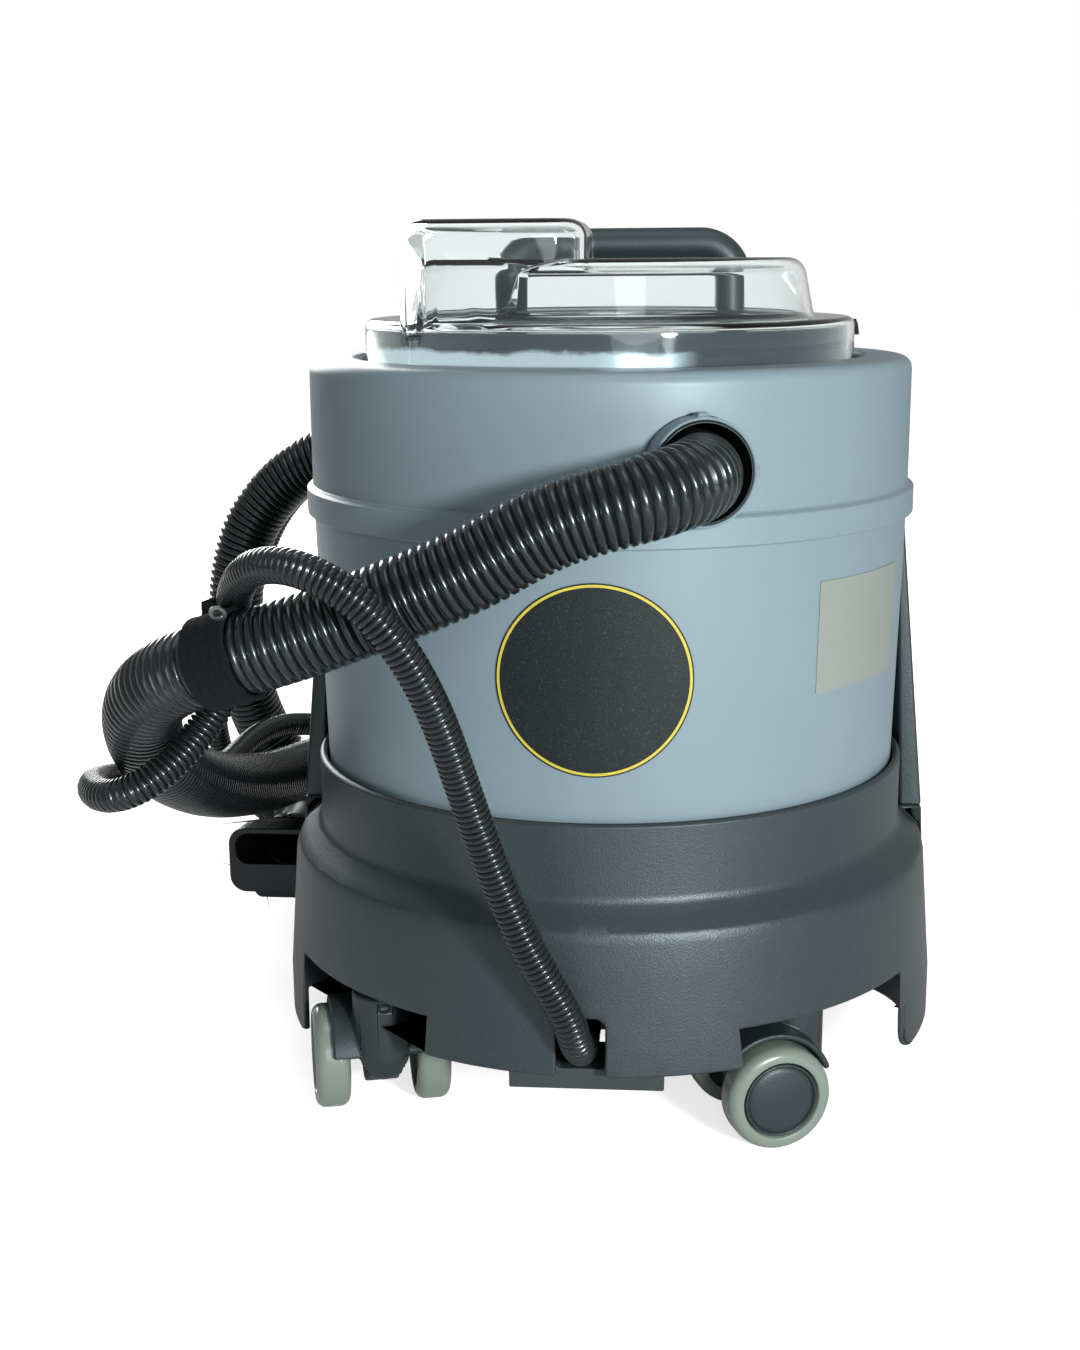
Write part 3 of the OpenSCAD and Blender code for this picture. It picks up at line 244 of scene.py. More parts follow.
def clearPlastic(name):
    # clear, with faint smears
    v = lidLook
    material, tree, shader = addMaterial(name)
    setValues(shader, {"Base Color": (*v["colour"], 1), "IOR": v["bending"],
                       "Transmission Weight": 1.0})
    smear = addNode(tree, "ShaderNodeTexNoise", **v["smear"])
    place = addNode(tree, "ShaderNodeTexCoord")
    tree.links.new(place.outputs["Object"], smear.inputs["Vector"])
    span = addSpan(tree, v["smearFrom"], v["smearTo"], v["rough"], v["rough"] + v["smearRough"])
    tree.links.new(smear.outputs["Fac"], span.inputs["Value"])
    tree.links.new(span.outputs[0], shader.inputs["Roughness"])
    return material


finishes["clear_plastic"] = clearPlastic("clearPlastic")

labelRing = {"height": 0.271, "middle": 0.0501, "half": 0.0007, "colour": (0.55, 0.47, 0.06)}


def ringedLabel(name):
    # black with a sparse sparkle, and a yellow ring near the rim
    material = finish(name, (0.009, 0.012, 0.013), 0.5, grain=0.2, scale=2300, fleck=0.5,
                      fleckColour=(0.18, 0.21, 0.21), specular=0.3)
    tree = material.node_tree
    link = tree.links.new
    base = tree.nodes["Principled BSDF"].inputs["Base Color"]
    place = addNode(tree, "ShaderNodeTexCoord")
    offset = addNode(tree, "ShaderNodeVectorMath", operation="SUBTRACT")
    offset.inputs[1].default_value = (axisX, 0, labelRing["height"])
    flat = addNode(tree, "ShaderNodeVectorMath", operation="MULTIPLY")
    flat.inputs[1].default_value = (1, 0, 1)
    far = addNode(tree, "ShaderNodeVectorMath", operation="LENGTH")
    ring = addNode(tree, "ShaderNodeMath", operation="COMPARE")
    ring.inputs[1].default_value = labelRing["middle"]
    ring.inputs[2].default_value = labelRing["half"]
    paint = addNode(tree, "ShaderNodeMix", data_type="RGBA")
    setValues(paint, {"B": (*labelRing["colour"], 1)})
    link(place.outputs["Object"], offset.inputs[0])
    link(offset.outputs[0], flat.inputs[0])
    link(flat.outputs[0], far.inputs[0])
    link(far.outputs["Value"], ring.inputs[0])
    link(ring.outputs[0], paint.inputs["Factor"])
    link(base.links[0].from_socket, paint.inputs["A"])
    link(paint.outputs["Result"], base)
    return material


finishes["label_black"] = ringedLabel("labelBlack")

neckLook = {
    # the second colour is a painted dark reflection on the steel
    "bright": (0.62, 0.74, 0.80), "paintedDarkReflection": (0.075, 0.10, 0.115),
    "reflectionEdgeFrom": 0.4400, "reflectionEdgeTo": 0.4425,  # height of the ragged edge of the painted dark reflection along the top
    "ripple": 0.012, "rippleLook": {"Scale": 26.0, "Detail": 6.0, "Roughness": 0.7},
    "reflectionSideFrom": 0.036, "reflectionSideTo": 0.052,  # painted dark reflection again past this far to the right
}


def neckSteel(name):
    # bright steel, with a painted dark reflection above an uneven edge and round the right side
    v = neckLook
    material = finish(name, v["bright"], 0.16, metal=1.0, vary=0.1)
    tree = material.node_tree
    link = tree.links.new
    place = addNode(tree, "ShaderNodeTexCoord")
    split = addNode(tree, "ShaderNodeSeparateXYZ")
    ripple = addNode(tree, "ShaderNodeTexNoise", **v["rippleLook"])
    level = addNode(tree, "ShaderNodeMath", operation="MULTIPLY_ADD")
    level.inputs[1].default_value = v["ripple"]
    # masks of the painted dark reflection: above the ragged edge, and round the right side
    darkReflectionBand = addSpan(tree, v["reflectionEdgeFrom"], v["reflectionEdgeTo"])
    side = addSpan(tree, axisX + v["reflectionSideFrom"], axisX + v["reflectionSideTo"])
    paintedDarkReflection = addNode(tree, "ShaderNodeMath", operation="MAXIMUM")
    paint = addNode(tree, "ShaderNodeMix", data_type="RGBA")
    setValues(paint, {"A": (*v["bright"], 1), "B": (*v["paintedDarkReflection"], 1)})
    link(place.outputs["Object"], split.inputs[0])
    link(place.outputs["Object"], ripple.inputs["Vector"])
    link(ripple.outputs["Fac"], level.inputs[0])
    link(split.outputs["Z"], level.inputs[2])
    link(level.outputs[0], darkReflectionBand.inputs["Value"])
    link(split.outputs["X"], side.inputs["Value"])
    link(darkReflectionBand.outputs[0], paintedDarkReflection.inputs[0])
    link(side.outputs[0], paintedDarkReflection.inputs[1])
    link(paintedDarkReflection.outputs[0], paint.inputs["Factor"])
    link(paint.outputs["Result"], tree.nodes["Principled BSDF"].inputs["Base Color"])
    return material


finishes["polished_steel"] = neckSteel("neckSteel")

slotOf = {s["node"]: s["material_slot"] for s in frame["record"]["subparts"]}
for nodeName, piece in nodes.items():
    piece.data.materials.clear()
    piece.data.materials.append(finishes[slotOf[nodeName]])
print("finishes set on", len(nodes), "nodes")


def settle(piece, name, body, slotName, replaced, angle=40):
    # final name, place, shading, finish and body of a modelled piece
    pickOnly(piece)
    piece.name = name
    piece.data.name = name
    bpy.ops.object.transform_apply(location=True, rotation=True, scale=True)
    bpy.ops.object.shade_smooth_by_angle(angle=math.radians(angle))
    piece.data.materials.clear()
    piece.data.materials.append(finishes[slotName])
    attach(piece, body)
    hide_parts(*replaced)
    return piece


# hoses


def splineThrough(route, steps=8):
    # cubic B-spline with held ends
    q = [2 * route[0] - route[1]] + route + [2 * route[-1] - route[-2]]
    line = []
    for i in range(1, len(route)):
        for k in range(steps):
            t = k / steps
            a = 1 - t
            line.append((a ** 3 * q[i - 1] + (3 * t ** 3 - 6 * t * t + 4) * q[i]
                         + (3 * t * t + 3 * t + 1 - 3 * t ** 3) * q[i + 1]
                         + t ** 3 * q[i + 2]) / 6)
    return line + [route[-1]]


def evenly(line, count):
    # points at equal distances along a line
    total = [0.0]
    for a, b in zip(line, line[1:]):
        total.append(total[-1] + (b - a).length)
    points, j = [], 0
    for i in range(count):
        s = total[-1] * i / (count - 1)
        while j < len(line) - 2 and total[j + 1] < s:
            j += 1
        f = (s - total[j]) / (total[j + 1] - total[j])
        points.append(line[j].lerp(line[j + 1], min(1, max(0, f))))
    return points, total[-1]


hookLoop = {"x": -0.184, "y": 0.262, "z": 0.230, "step": 0.030, "start": -95, "points": 12}


def turnRound(a, b, radius, back):
    # points of a turn over the hook that moves back by a step each time round
    v = hookLoop
    points = []
    for k in range(v["points"] + 1):
        t = a + (b - a) * k / v["points"]
        points.append((v["x"] + radius * math.cos(math.radians(t)),
                       v["y"] + back + v["step"] * (t - v["start"]) / 360,
                       v["z"] + radius * math.sin(math.radians(t))))
    return points


vacuumHose = {
    "diameter": 0.042, "ribDepth": 0.0020, "ribPitch": 0.0051, "sides": 28, "bore": 0.033,
    "route": [
        (0.043, -0.141, 0.379), (0.049, -0.160, 0.379), (0.054, -0.179, 0.379),
        (0.053, -0.1975, 0.378), (0.043, -0.213, 0.376), (0.028, -0.223, 0.372),
        (0.009, -0.228, 0.368), (-0.022, -0.229, 0.359), (-0.052, -0.230, 0.340),
        (-0.085, -0.230, 0.326), (-0.117, -0.230, 0.313), (-0.150, -0.228, 0.301),
        (-0.180, -0.223, 0.292), (-0.208, -0.211, 0.282), (-0.230, -0.191, 0.266),
        (-0.242, -0.166, 0.245), (-0.247, -0.137, 0.222), (-0.247, -0.105, 0.203),
        (-0.247, -0.066, 0.185), (-0.247, -0.022, 0.168), (-0.247, 0.028, 0.152),
        (-0.247, 0.078, 0.138), (-0.245, 0.124, 0.126), (-0.242, 0.172, 0.117),
        (-0.233, 0.218, 0.112), (-0.213, 0.250, 0.109),
        *turnRound(-90, 180, 0.120, 0),
        (-0.304, 0.290, 0.198), (-0.304, 0.301, 0.168), (-0.301, 0.313, 0.138),
        (-0.293, 0.322, 0.110), (-0.278, 0.323, 0.087), (-0.261, 0.312, 0.071),
        (-0.249, 0.294, 0.066), (-0.244, 0.274, 0.066), (-0.243, 0.256, 0.066),
        (-0.243, 0.238, 0.066),
    ],
}

solutionHose = {
    "diameter": 0.018, "ribDepth": 0.0011, "ribPitch": 0.0034, "sides": 16, "bore": 0.010,
    "route": [
        (-0.006, -0.151, 0.072), (-0.006, -0.165, 0.072), (-0.006, -0.179, 0.072),
        (-0.006, -0.192, 0.075), (-0.008, -0.203, 0.084), (-0.010, -0.209, 0.096),
        (-0.015, -0.212, 0.110), (-0.031, -0.217, 0.139), (-0.047, -0.222, 0.183),
        (-0.060, -0.233, 0.227), (-0.070, -0.250, 0.272), (-0.084, -0.264, 0.307),
        (-0.104, -0.268, 0.332), (-0.132, -0.264, 0.346), (-0.156, -0.248, 0.344),
        (-0.172, -0.222, 0.330), (-0.182, -0.193, 0.311), (-0.187, -0.172, 0.288),
        (-0.193, -0.165, 0.265), (-0.204, -0.172, 0.245), (-0.217, -0.185, 0.229),
        (-0.233, -0.193, 0.217), (-0.250, -0.191, 0.210), (-0.265, -0.176, 0.207),
        (-0.275, -0.152, 0.205), (-0.280, -0.122, 0.199), (-0.280, -0.092, 0.192),
        (-0.280, -0.056, 0.178), (-0.280, -0.018, 0.165), (-0.280, 0.030, 0.150),
        (-0.280, 0.080, 0.139), (-0.279, 0.125, 0.134), (-0.277, 0.170, 0.134),
        (-0.273, 0.215, 0.137), (-0.260, 0.258, 0.135), (-0.233, 0.285, 0.126),
        *turnRound(-90, 165, 0.108, 0.031),
        (-0.299, 0.322, 0.226), (-0.314, 0.324, 0.196), (-0.328, 0.326, 0.166),
        (-0.336, 0.330, 0.138), (-0.338, 0.337, 0.110), (-0.334, 0.341, 0.082),
        (-0.321, 0.338, 0.058), (-0.300, 0.329, 0.042), (-0.277, 0.314, 0.034),
        (-0.257, 0.294, 0.032), (-0.246, 0.273, 0.032), (-0.243, 0.252, 0.032),
        (-0.243, 0.234, 0.032),
    ],
}

ribs = {
    "shape": [(0.0, 1.0), (0.16, 0.42), (0.30, 0.04), (0.70, 0.0), (0.86, 0.42)],  # how deep
    "steps": 10, "boreRings": 150, "pathPoints": 400,
}


def frames(points):
    # a heading and a side at each point, carried along without twist
    result = []
    side = None
    for i, p in enumerate(points):
        ahead = (points[min(i + 1, len(points) - 1)] - points[max(i - 1, 0)]).normalized()
        if side is None:
            side = ahead.cross(Vector((0.1, 0.2, 1.0))).normalized()
        side = (side - ahead * side.dot(ahead)).normalized()
        result.append((p, ahead, side))
    return result


def ribbedHose(name, spec, node):
    # one unbroken skin: ribs along the outside, then back along the bore
    line = splineThrough([spot(*p) for p in spec["route"]])
    steps, boreRings = ribs["steps"], ribs["boreRings"]
    count = round(evenly(line, 2)[1] / spec["ribPitch"])
    path, length = evenly(line, count * steps + 1)
    held = frames(path)
    outer = spec["diameter"] / 2
    rings = [(i * steps + f * steps, outer - dip * spec["ribDepth"])
             for i in range(count) for f, dip in ribs["shape"]]
    rings.append((count * steps, outer - spec["ribDepth"]))
    rings += [(k * steps * count / boreRings, spec["bore"] / 2) for k in range(boreRings, -1, -1)]
    n = spec["sides"]
    corners, faces = [], []
    for place, radius in rings:
        low = min(int(place), len(held) - 2)
        f = place - low
        p = held[low][0].lerp(held[low + 1][0], f)
        ahead = held[low][1].lerp(held[low + 1][1], f).normalized()
        side = held[low][2].lerp(held[low + 1][2], f)
        side = (side - ahead * side.dot(ahead)).normalized()
        other = ahead.cross(side)
        for k in range(n):
            a = 2 * math.pi * k / n
            corners.append(p + radius * (math.cos(a) * side + math.sin(a) * other))
    for i in range(len(rings)):
        j = (i + 1) % len(rings)
        for k in range(n):
            m = (k + 1) % n
            faces.append((i * n + k, i * n + m, j * n + m, j * n + k))
    mesh = bpy.data.meshes.new(name)
    mesh.from_pydata(corners, [], faces)
    mesh.update()
    hose = bpy.data.objects.new(name, mesh)
    bpy.context.scene.collection.objects.link(hose)
    pickOnly(hose)
    bpy.ops.object.mode_set(mode="EDIT")
    bpy.ops.mesh.select_all(action="SELECT")
    bpy.ops.mesh.normals_make_consistent(inside=False)
    bpy.ops.object.mode_set(mode="OBJECT")
    settle(hose, name, "machine", "hose_black", [node], angle=60)
    return hose, [tuple(p) for p in evenly(line, ribs["pathPoints"])[0]], length


vacuumTube, vacuumPath, vacuumLength = ribbedHose("vacuumHose", vacuumHose, "vacuum_hose")
solutionTube, solutionPath, solutionLength = ribbedHose(
    "solutionHose", solutionHose, "solution_hose")
print("hoses", round(vacuumLength, 3), round(solutionLength, 3))

# modelling helpers


def selectEdges(piece, test):
    # edit mode with only the edges that pass the test selected
    pickOnly(piece)
    bpy.ops.object.mode_set(mode="EDIT")
    bpy.ops.mesh.select_mode(type="EDGE")
    bpy.ops.mesh.select_all(action="DESELECT")
    bpy.ops.object.mode_set(mode="OBJECT")
    for edge in piece.data.edges:
        edge.select = test(*[piece.data.vertices[i].co for i in edge.vertices])
    bpy.ops.object.mode_set(mode="EDIT")


def capped(piece):
    # closes the open rims of a turned piece
    pickOnly(piece)
    bpy.ops.object.mode_set(mode="EDIT")
    bpy.ops.mesh.select_mode(type="EDGE")
    bpy.ops.mesh.select_all(action="DESELECT")
    bpy.ops.mesh.select_non_manifold()
    bpy.ops.mesh.edge_face_add()
    bpy.ops.mesh.select_all(action="SELECT")
    bpy.ops.mesh.normals_make_consistent(inside=False)
    bpy.ops.object.mode_set(mode="OBJECT")


def turned(profile, sides=96, closed=True, centre=(axisX, axisY)):
    # a ring is extruded and resized up the profile of (radius, height) points
    x, y = centre
    r, z = profile[0]
    pickNone()
    bpy.ops.mesh.primitive_circle_add(vertices=sides, radius=r, location=(x, y, z))
    piece = bpy.context.object
    bpy.ops.object.mode_set(mode="EDIT")
    bpy.ops.mesh.select_all(action="SELECT")
    for nextR, nextZ in profile[1:] + (profile[:1] if closed else []):
        bpy.ops.mesh.extrude_edges_move(TRANSFORM_OT_translate={"value": (0, 0, nextZ - z)})
        bpy.ops.transform.resize(value=(nextR / r, nextR / r, 1), center_override=(x, y, nextZ))
        r, z = nextR, nextZ
    bpy.ops.mesh.select_all(action="SELECT")
    bpy.ops.mesh.remove_doubles(threshold=1e-6)
    bpy.ops.mesh.normals_make_consistent(inside=False)
    bpy.ops.object.mode_set(mode="OBJECT")
    if not closed:
        capped(piece)
    return piece


def arcPoints(r, z, radius, a, b, steps=6):
    turn = [math.radians(a + (b - a) * k / steps) for k in range(steps + 1)]
    return [(r + radius * math.cos(t), z + radius * math.sin(t)) for t in turn]


def apply(piece, kind, **values):
    # adds a modifier with these values and applies it
    pickOnly(piece)
    modifier = piece.modifiers.new("step", kind)
    for label, value in values.items():
        setattr(modifier, label, value)
    bpy.ops.object.modifier_apply(modifier="step")


def combine(piece, other, way):
    apply(piece, "BOOLEAN", operation=way, solver="EXACT", object=other)
    bpy.data.objects.remove(other)


def roundedBlock(low, high, corner, edge, steps=6):
    # a block with upright corners of one radius and a top edge of another
    size = [h - l for l, h in zip(low, high)]
    middle = [(l + h) / 2 for l, h in zip(low, high)]
    pickNone()
    bpy.ops.mesh.primitive_cube_add(size=1, location=middle, scale=size)
    block = bpy.context.object
    bpy.ops.object.transform_apply(location=False, rotation=False, scale=True)
    for radius, test in (
        (corner, lambda a, b: abs(a.z - b.z) > size[2] / 2),
        (edge, lambda a, b: min(a.z, b.z) > size[2] / 2 - 1e-5),
    ):
        selectEdges(block, test)
        bpy.ops.mesh.bevel(offset=radius, segments=steps, affect="EDGES")
        bpy.ops.object.mode_set(mode="OBJECT")
    return block


softening = {"merge": 0.0001, "flat": 0.05, "edgeAngle": 32, "steps": 2, "weight": 60}


def softened(node, name, body, slotName, width, shape=None):
    # a copy of a solid, reshaped where asked, with its sharp edges rounded off
    piece = bpy.data.objects.new(name, nodes[node].data.copy())
    bpy.context.scene.collection.objects.link(piece)
    pickOnly(piece)
    bpy.ops.object.mode_set(mode="EDIT")
    bpy.ops.mesh.select_all(action="SELECT")
    bpy.ops.mesh.remove_doubles(threshold=softening["merge"])
    bpy.ops.mesh.dissolve_limited(angle_limit=math.radians(softening["flat"]))
    bpy.ops.object.mode_set(mode="OBJECT")
    if shape:
        shape(piece)
    apply(piece, "BEVEL", width=width, segments=softening["steps"], limit_method="ANGLE",
          angle_limit=math.radians(softening["edgeAngle"]), use_clamp_overlap=False)
    settle(piece, name, body, slotName, [node])
    apply(piece, "WEIGHTED_NORMAL", mode="FACE_AREA", weight=softening["weight"],
          keep_sharp=True)


# lid

lidSizes = {
    "skirtRadius": 0.142, "skirtLow": 0.4235, "shelf": 0.450, "shelfEdge": 0.005,
    "domeRadius": 0.118, "domeTop": 0.483, "bend": 0.011, "foot": 0.004, "wall": 0.0035,
    "tallLow": (-0.110, -0.105, 0.440), "tallHigh": (-0.008, 0.001, 0.504),
    "tallCorner": 0.022, "tallEdge": 0.010, "soften": 0.0025, "softenAngle": 35, "sides": 128,
}


def makeLid():
    # skirt, shelf and dome are turned, the tall part is joined, and the foot is opened
    v = lidSizes
    edge, foot, bend = v["shelfEdge"], v["foot"], v["bend"]
    profile = [(v["skirtRadius"], v["skirtLow"])]
    profile += arcPoints(v["skirtRadius"] - edge, v["shelf"] - edge, edge, 0, 90)
    profile += arcPoints(v["domeRadius"] + foot, v["shelf"] + foot, foot, -90, -170, 5)
    profile += arcPoints(v["domeRadius"] - foot - bend, v["domeTop"] - bend, bend, 10, 90, 8)
    lid = turned(profile, sides=v["sides"], closed=False)
    tall = roundedBlock(spot(*v["tallLow"]), spot(*v["tallHigh"]), v["tallCorner"], v["tallEdge"])
    combine(lid, tall, "UNION")
    apply(lid, "BEVEL", width=v["soften"], segments=3, limit_method="ANGLE",
          angle_limit=math.radians(v["softenAngle"]))
    pickOnly(lid)
    bpy.ops.object.mode_set(mode="EDIT")
    bpy.ops.mesh.select_mode(type="FACE")
    bpy.ops.mesh.select_all(action="DESELECT")
    bpy.ops.object.mode_set(mode="OBJECT")
    points = lid.data.vertices
    bottom = min(point.co.z for point in points)
    for face in lid.data.polygons:
        face.select = all(abs(points[i].co.z - bottom) < 1e-5 for i in face.vertices)
    bpy.ops.object.mode_set(mode="EDIT")
    bpy.ops.mesh.delete(type="FACE")
    bpy.ops.object.mode_set(mode="OBJECT")
    apply(lid, "SOLIDIFY", thickness=v["wall"], offset=-1, use_even_offset=True)
    settle(lid, "clearLid", "lid", "clear_plastic", ["clear_lid"])


makeLid()
print("lid")

# castors and wheels

castors = {  # place of the stem and the way in which the wheels trail
    "fl": (-0.124, -0.122, 105), "fr": (0.110, -0.108, 200),
    "rl": (-0.122, 0.132, 78), "rr": (0.122, 0.132, 110),
}
wheelSizes = {
    "radius": 0.030, "half": 0.010, "shoulder": 0.006, "gap": 0.042, "trail": 0.022,
    "hub": 0.0212, "bore": 0.0045, "boss": 0.0110, "bead": 0.0008, "dome": 0.0020,
    "treadSides": 80, "hubSides": 64, "bodySoften": 0.0014,
}


def treadShape():
    # a tyre with round shoulders and a small chamfer down to the hub at both sides
    w = wheelSizes
    r, h, s, hub = w["radius"], w["half"], w["shoulder"], w["hub"]
    profile = [(hub + 0.0004, -h + 0.002), (hub + 0.0012, -h + 0.0004), (hub + 0.0022, -h)]
    profile += arcPoints(r - s, -h + s, s, -90, 0, 7)
    profile += arcPoints(r - s, h - s, s, 0, 90, 7)
    profile += [(hub + 0.0022, h), (hub + 0.0012, h - 0.0004), (hub + 0.0004, h - 0.002)]
    return turned(profile, sides=w["treadSides"], centre=(0, 0))


def hubShape():
    # a shallow domed cap with a bead round it, on a disc with a boss at its inner side
    w = wheelSizes
    hub, h, boss, bead = w["hub"], w["half"], w["boss"], w["bead"]
    profile = [(w["bore"], -h + 0.001), (boss - 0.0005, -h + 0.001), (boss, -h + 0.0016),
               (boss, -h + 0.003), (hub, -h + 0.003), (hub, h - 0.0024)]
    profile += arcPoints(hub - bead, h - 0.0024, bead, 0, 180, 5)
    profile += [(hub - 0.0020, h - 0.0030), (hub - 0.0026, h - 0.0024)]
    for k in range(1, 8):
        out = 1 - k / 7
        profile.append((hub * out - 0.0026 * out + 0.0006,
                        h - 0.0022 + w["dome"] * math.sin(math.pi * k / 14)))
    return turned(profile, sides=w["hubSides"], closed=False, centre=(0, 0))


def placed(piece, tag, side):
    # on the axle of one wheel, its outer face away from the fork
    x, y, turn = castors[tag]
    t = math.radians(turn)
    along, across = wheelSizes["trail"], side * wheelSizes["gap"] / 2
    piece.location = spot(x + along * math.cos(t) - across * math.sin(t),
                          y + along * math.sin(t) + across * math.cos(t), wheelSizes["radius"])
    piece.rotation_euler = (math.radians(-90 * side), 0, t)


def copyOf(piece):
    twin = piece.copy()
    twin.data = piece.data.copy()
    bpy.context.scene.collection.objects.link(twin)
    return twin


tread, hub = treadShape(), hubShape()
for tag in castors:
    for part, side in (("in", 1), ("out", -1)):
        name = f"{tag}_{part}"
        for shape, label, slotName in (
            (tread, "tread_", "wheel_grey"), (hub, "hub_", "castor_black"),
        ):
            piece = copyOf(shape)
            placed(piece, tag, side)
            settle(piece, label + name, "roll_" + name, slotName, ["wheel_" + name])
    softened("castor_" + tag, "castorBody_" + tag, "swivel_" + tag, "castor_black",
             wheelSizes["bodySoften"])
bpy.data.objects.remove(tread)
bpy.data.objects.remove(hub)
print("castors")

# shells and tanks

rounded = [  # solid, new name, finish and width of its rounded edges
    ("base_shell", "baseShell", "black_shell", 0.0016),
    ("bottom_plate", "bottomPlate", "plate_grey", 0.0010),
    ("pull_handle", "pullHandle", "black_shell", 0.0012),
    ("solution_tank", "solutionTank", "grey_tank", 0.0012),
    ("hose_cuff", "hoseCuff", "grey_tank", 0.0010),
    ("hose_hook", "hoseHook", "motor_dark", 0.0010),
    ("tool_holster", "toolHolster", "black_shell", 0.0008),
    ("tool_head", "toolHead", "black_gloss", 0.0012),
    ("tool_tube", "toolTube", "black_shell", 0.0008),
    ("switch_panel", "switchPanel", "black_shell", 0.0008),
    ("cord_gland", "cordGland", "black_shell", 0.0006),
    ("neck_ring", "neckRing", "polished_steel", 0.0006),
    ("lid_gasket", "lidGasket", "gasket_pale", 0.0008),
    ("cuff_ring", "cuffRing", "black_gloss", 0.0005),
]
for node, name, slotName, width in rounded:
    softened(node, name, "machine", slotName, width)

towerTop = {"from": 0.395, "narrow": 0.942, "soften": 0.0020}


def narrowed(piece):
    # draws the flanks in at the tower's top, so that the tanks hide them
    selectEdges(piece, lambda a, b: min(a.z, b.z) > towerTop["from"])
    bpy.ops.transform.resize(value=(towerTop["narrow"], 1, 1), center_override=(axisX, 0, 0))
    bpy.ops.object.mode_set(mode="OBJECT")


softened("rear_tower", "rearTower", "machine", "black_shell", towerTop["soften"], narrowed)

upperTank = {
    "radius": 0.175, "wall": 0.0035, "floor": 0.343, "floorHole": 0.004,
    "bandLow": 0.3395, "bandHigh": 0.3555, "bandOut": 0.0035, "bandEdge": 0.0008,
    "bandSlope": 0.0012, "crown": 0.428, "bend": 0.007, "seat": 0.416, "recess": 0.1465,
    "lip": 0.003, "neck": 0.133, "sides": 144,
    "inletHeight": 0.379, "inletTurn": 17, "inletRadius": 0.0282, "inletSides": 72,
}


def makeUpperTank():
    # turned outside and in: band, wall, crown, the recess for the lid, and back down
    v = upperTank
    r, wall, bend, crown, floor = v["radius"], v["wall"], v["bend"], v["crown"], v["floor"]
    low, high, edge, slope = v["bandLow"], v["bandHigh"], v["bandEdge"], v["bandSlope"]
    band, recess, seat, lip = r + v["bandOut"], v["recess"], v["seat"], v["lip"]
    profile = [(v["floorHole"], floor), (r - 0.001, floor), (r + 0.0003, low), (band - edge, low),
               (band, low + edge), (band, high - slope), (band - slope, high),
               (r + 0.0008, high + 0.0004), (r, high + 0.0014)]
    profile += arcPoints(r - bend, crown - bend, bend, 0, 90, 8)
    profile += [(recess + 0.004, crown + 0.0006)]
    profile += arcPoints(recess + lip, crown - 0.0024, lip, 90, 180, 5)
    profile += [(recess, seat + 0.001), (recess - 0.001, seat), (v["neck"], seat),
                (v["neck"], seat - wall), (recess + wall, seat - wall),
                (recess + wall, crown - wall)]
    profile += arcPoints(r - bend, crown - bend, bend - wall, 90, 0, 5)
    profile += [(r - wall, floor + 0.010), (r - wall - 0.006, floor + wall),
                (v["floorHole"], floor + wall)]
    tank = turned(profile, sides=v["sides"])
    turn = math.radians(v["inletTurn"])
    ahead = Vector((math.sin(turn), -math.cos(turn), 0))
    pickNone()
    bpy.ops.mesh.primitive_cylinder_add(
        vertices=v["inletSides"], radius=v["inletRadius"], depth=0.05,
        location=spot(0, 0, v["inletHeight"]) + ahead * r, rotation=(math.radians(90), 0, turn))
    combine(tank, bpy.context.object, "DIFFERENCE")
    settle(tank, "recoveryTank", "machine", "grey_tank", ["recovery_tank"], angle=35)


makeUpperTank()
print("shells")

# strap round the vacuum hose

strap = {
    "along": 0.305, "width": 0.025, "inner": 0.0213, "outer": 0.0238, "wave": 0.0002,
    "tabTurn": 150, "tabReach": 0.034, "tabHalf": 0.0012, "voxel": 0.0008,
    "fuzzScale": 0.0022, "fuzz": 0.0007, "places": 1400,
}


def makeStrap():
    # a wavy band with a tab, remeshed as one and roughened
    v = strap
    line, length = evenly(splineThrough([spot(*p) for p in vacuumHose["route"]]),
                          v["places"] + 1)
    k = round(v["along"] / length * v["places"])
    ahead = (line[k + 1] - line[k - 1]).normalized()
    half, inner, outer = v["width"] / 2, v["inner"], v["outer"]
    profile = [(inner, -half + 0.001), (inner + 0.0008, -half), (outer - 0.0006, -half),
               (outer, -half + 0.0006)]
    profile += [(outer + v["wave"] * math.sin(j * 2.1), -half + v["width"] * j / 14)
                for j in range(1, 14)]
    profile += [(outer, half - 0.0006), (outer - 0.0006, half), (inner + 0.0008, half),
                (inner, half - 0.001)]
    band = turned(profile, sides=96, centre=(0, 0))
    tab = roundedBlock((inner + 0.001, -v["tabHalf"], -half + 0.0005),
                       (v["tabReach"], v["tabHalf"], half - 0.0005), 0.0007, 0.0006, 3)
    pickOnly(tab)
    bpy.ops.transform.rotate(value=math.radians(v["tabTurn"]), orient_axis="Z",
                             center_override=(0, 0, 0))
    bpy.ops.object.transform_apply(location=True, rotation=True, scale=True)
    combine(band, tab, "UNION")
    apply(band, "REMESH", mode="VOXEL", voxel_size=v["voxel"])
    fuzz = bpy.data.textures.new("fuzz", "CLOUDS")
    fuzz.noise_scale = v["fuzzScale"]
    apply(band, "DISPLACE", texture=fuzz, strength=v["fuzz"], mid_level=0.5,
          texture_coords="LOCAL")
    band.location = line[k]
    band.rotation_euler = (0, math.acos(ahead.z), math.atan2(ahead.y, ahead.x))
    return settle(band, "strapBand", "machine", "strap_fabric", ["hose_strap"], angle=70)


strapBand = makeStrap()
print("strap")

# cords and what is on them

vacuumPieces = [nodes[n] for n in ("strap_eyelet", "tool_trigger", "trigger_pin")]
vacuumPieces += [strapBand] + [bpy.data.objects[n] for n in ("toolHead", "toolTube")]

# floor, light and backdrop

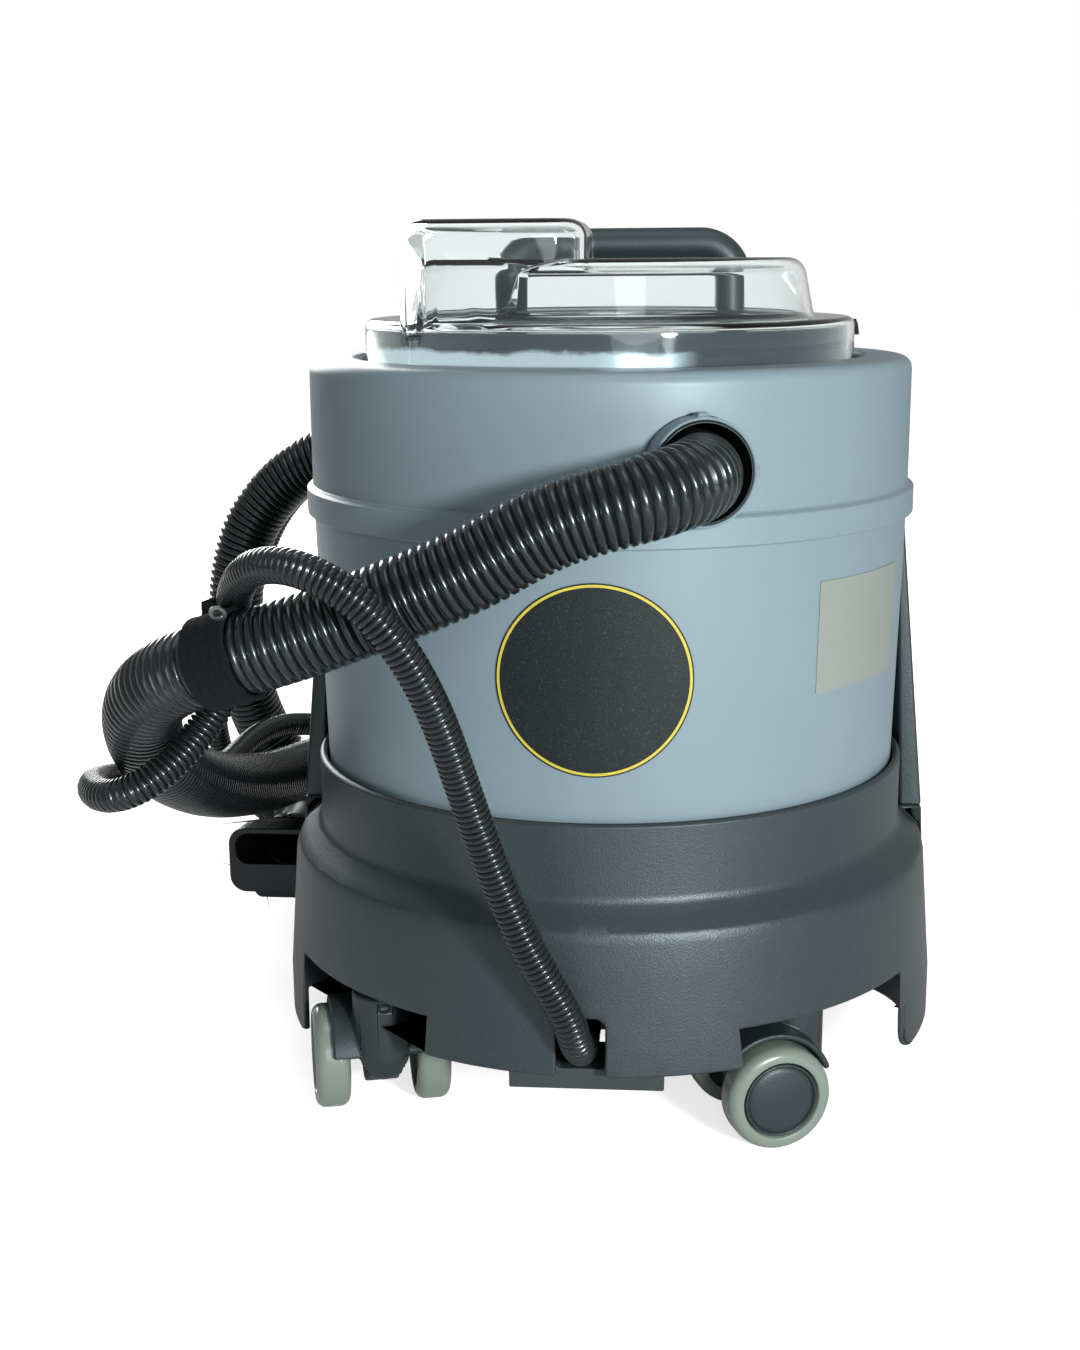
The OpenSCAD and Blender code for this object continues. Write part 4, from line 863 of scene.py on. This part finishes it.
studio = {
    "floorSize": 16.0,
    "floorBack": 0.8,
    "floorGrey": 0.88,
    "floorLift": (0.74, 0.985),  # how much paler the camera sees the floor, near and far
    "liftFrom": 0.35,
    "liftTo": 1.1,
    "key": ((1.08, -1.97, 0.70), 0.28, 46),  # place, size and power
    "fill": ((0.5, -1.9, 0.9), 1.0, 7),
    "top": ((0.2, -0.3, 2.4), 1.4, 7),
    "back": ((-1.3, 2.3, 1.2), 1.6, 60),
    "aim": (0, -0.05, 0.28),
    "glow": (0.9, 0.92, 0.95, 1),
    "glowPower": 0.12,
    "glossySky": 0.3,  # share of the white backdrop that reflections see
}

pickNone()
bpy.ops.mesh.primitive_plane_add(size=studio["floorSize"], location=(0, studio["floorBack"], 0))
floor = bpy.context.object
floor.name = "floor"
paper, tree, shader = addMaterial("paper")
setValues(shader, {"Base Color": (*[studio["floorGrey"]] * 3, 1), "Roughness": 0.9,
                   "Specular IOR Level": 0.1, "Emission Color": (1, 1, 1, 1)})
seen = addNode(tree, "ShaderNodeLightPath")
ground = addNode(tree, "ShaderNodeNewGeometry")
reach = addNode(tree, "ShaderNodeVectorMath", operation="LENGTH")
spread = addSpan(tree, studio["liftFrom"], studio["liftTo"], *studio["floorLift"])
lift = addNode(tree, "ShaderNodeMath", operation="MULTIPLY")
link = tree.links.new
link(ground.outputs["Position"], reach.inputs[0])
link(reach.outputs["Value"], spread.inputs["Value"])
link(spread.outputs[0], lift.inputs[1])
link(seen.outputs["Is Camera Ray"], lift.inputs[0])
link(lift.outputs[0], shader.inputs["Emission Strength"])
floor.data.materials.append(paper)


def softLight(name, place, size, power):
    lamp = bpy.data.lights.new(name, "AREA")
    lamp.shape = "DISK"
    lamp.size = size
    lamp.energy = power
    holder = bpy.data.objects.new(name, lamp)
    bpy.context.scene.collection.objects.link(holder)
    holder.location = place
    towards = Vector(studio["aim"]) - Vector(place)
    holder.rotation_euler = towards.to_track_quat("-Z", "Y").to_euler()


for name in ("key", "fill", "top", "back"):
    softLight(name + "Light", *studio[name])

# white for the camera and through the lid, in part for reflections, and a glow for the rest
sky = bpy.data.worlds.new("studio")
bpy.context.scene.world = sky
sky.use_nodes = True
tree = sky.node_tree
tree.nodes.clear()
end = addNode(tree, "ShaderNodeOutputWorld")
glow = addNode(tree, "ShaderNodeBackground", Color=studio["glow"], Strength=studio["glowPower"])
white = addNode(tree, "ShaderNodeBackground", Color=(1, 1, 1, 1), Strength=1.0)
rays = addNode(tree, "ShaderNodeLightPath")
either = addNode(tree, "ShaderNodeMath", operation="MAXIMUM")
mirrored = addNode(tree, "ShaderNodeMath", operation="MULTIPLY_ADD")
mirrored.inputs[1].default_value = studio["glossySky"]
blend = addNode(tree, "ShaderNodeMixShader")
link = tree.links.new
link(rays.outputs["Is Camera Ray"], either.inputs[0])
link(rays.outputs["Is Transmission Ray"], either.inputs[1])
link(rays.outputs["Is Glossy Ray"], mirrored.inputs[0])
link(either.outputs[0], mirrored.inputs[2])
link(mirrored.outputs[0], blend.inputs[0])
link(glow.outputs[0], blend.inputs[1])
link(white.outputs[0], blend.inputs[2])
link(blend.outputs[0], end.inputs[0])

bpy.context.scene.view_settings.view_transform = "Standard"

print("finished")
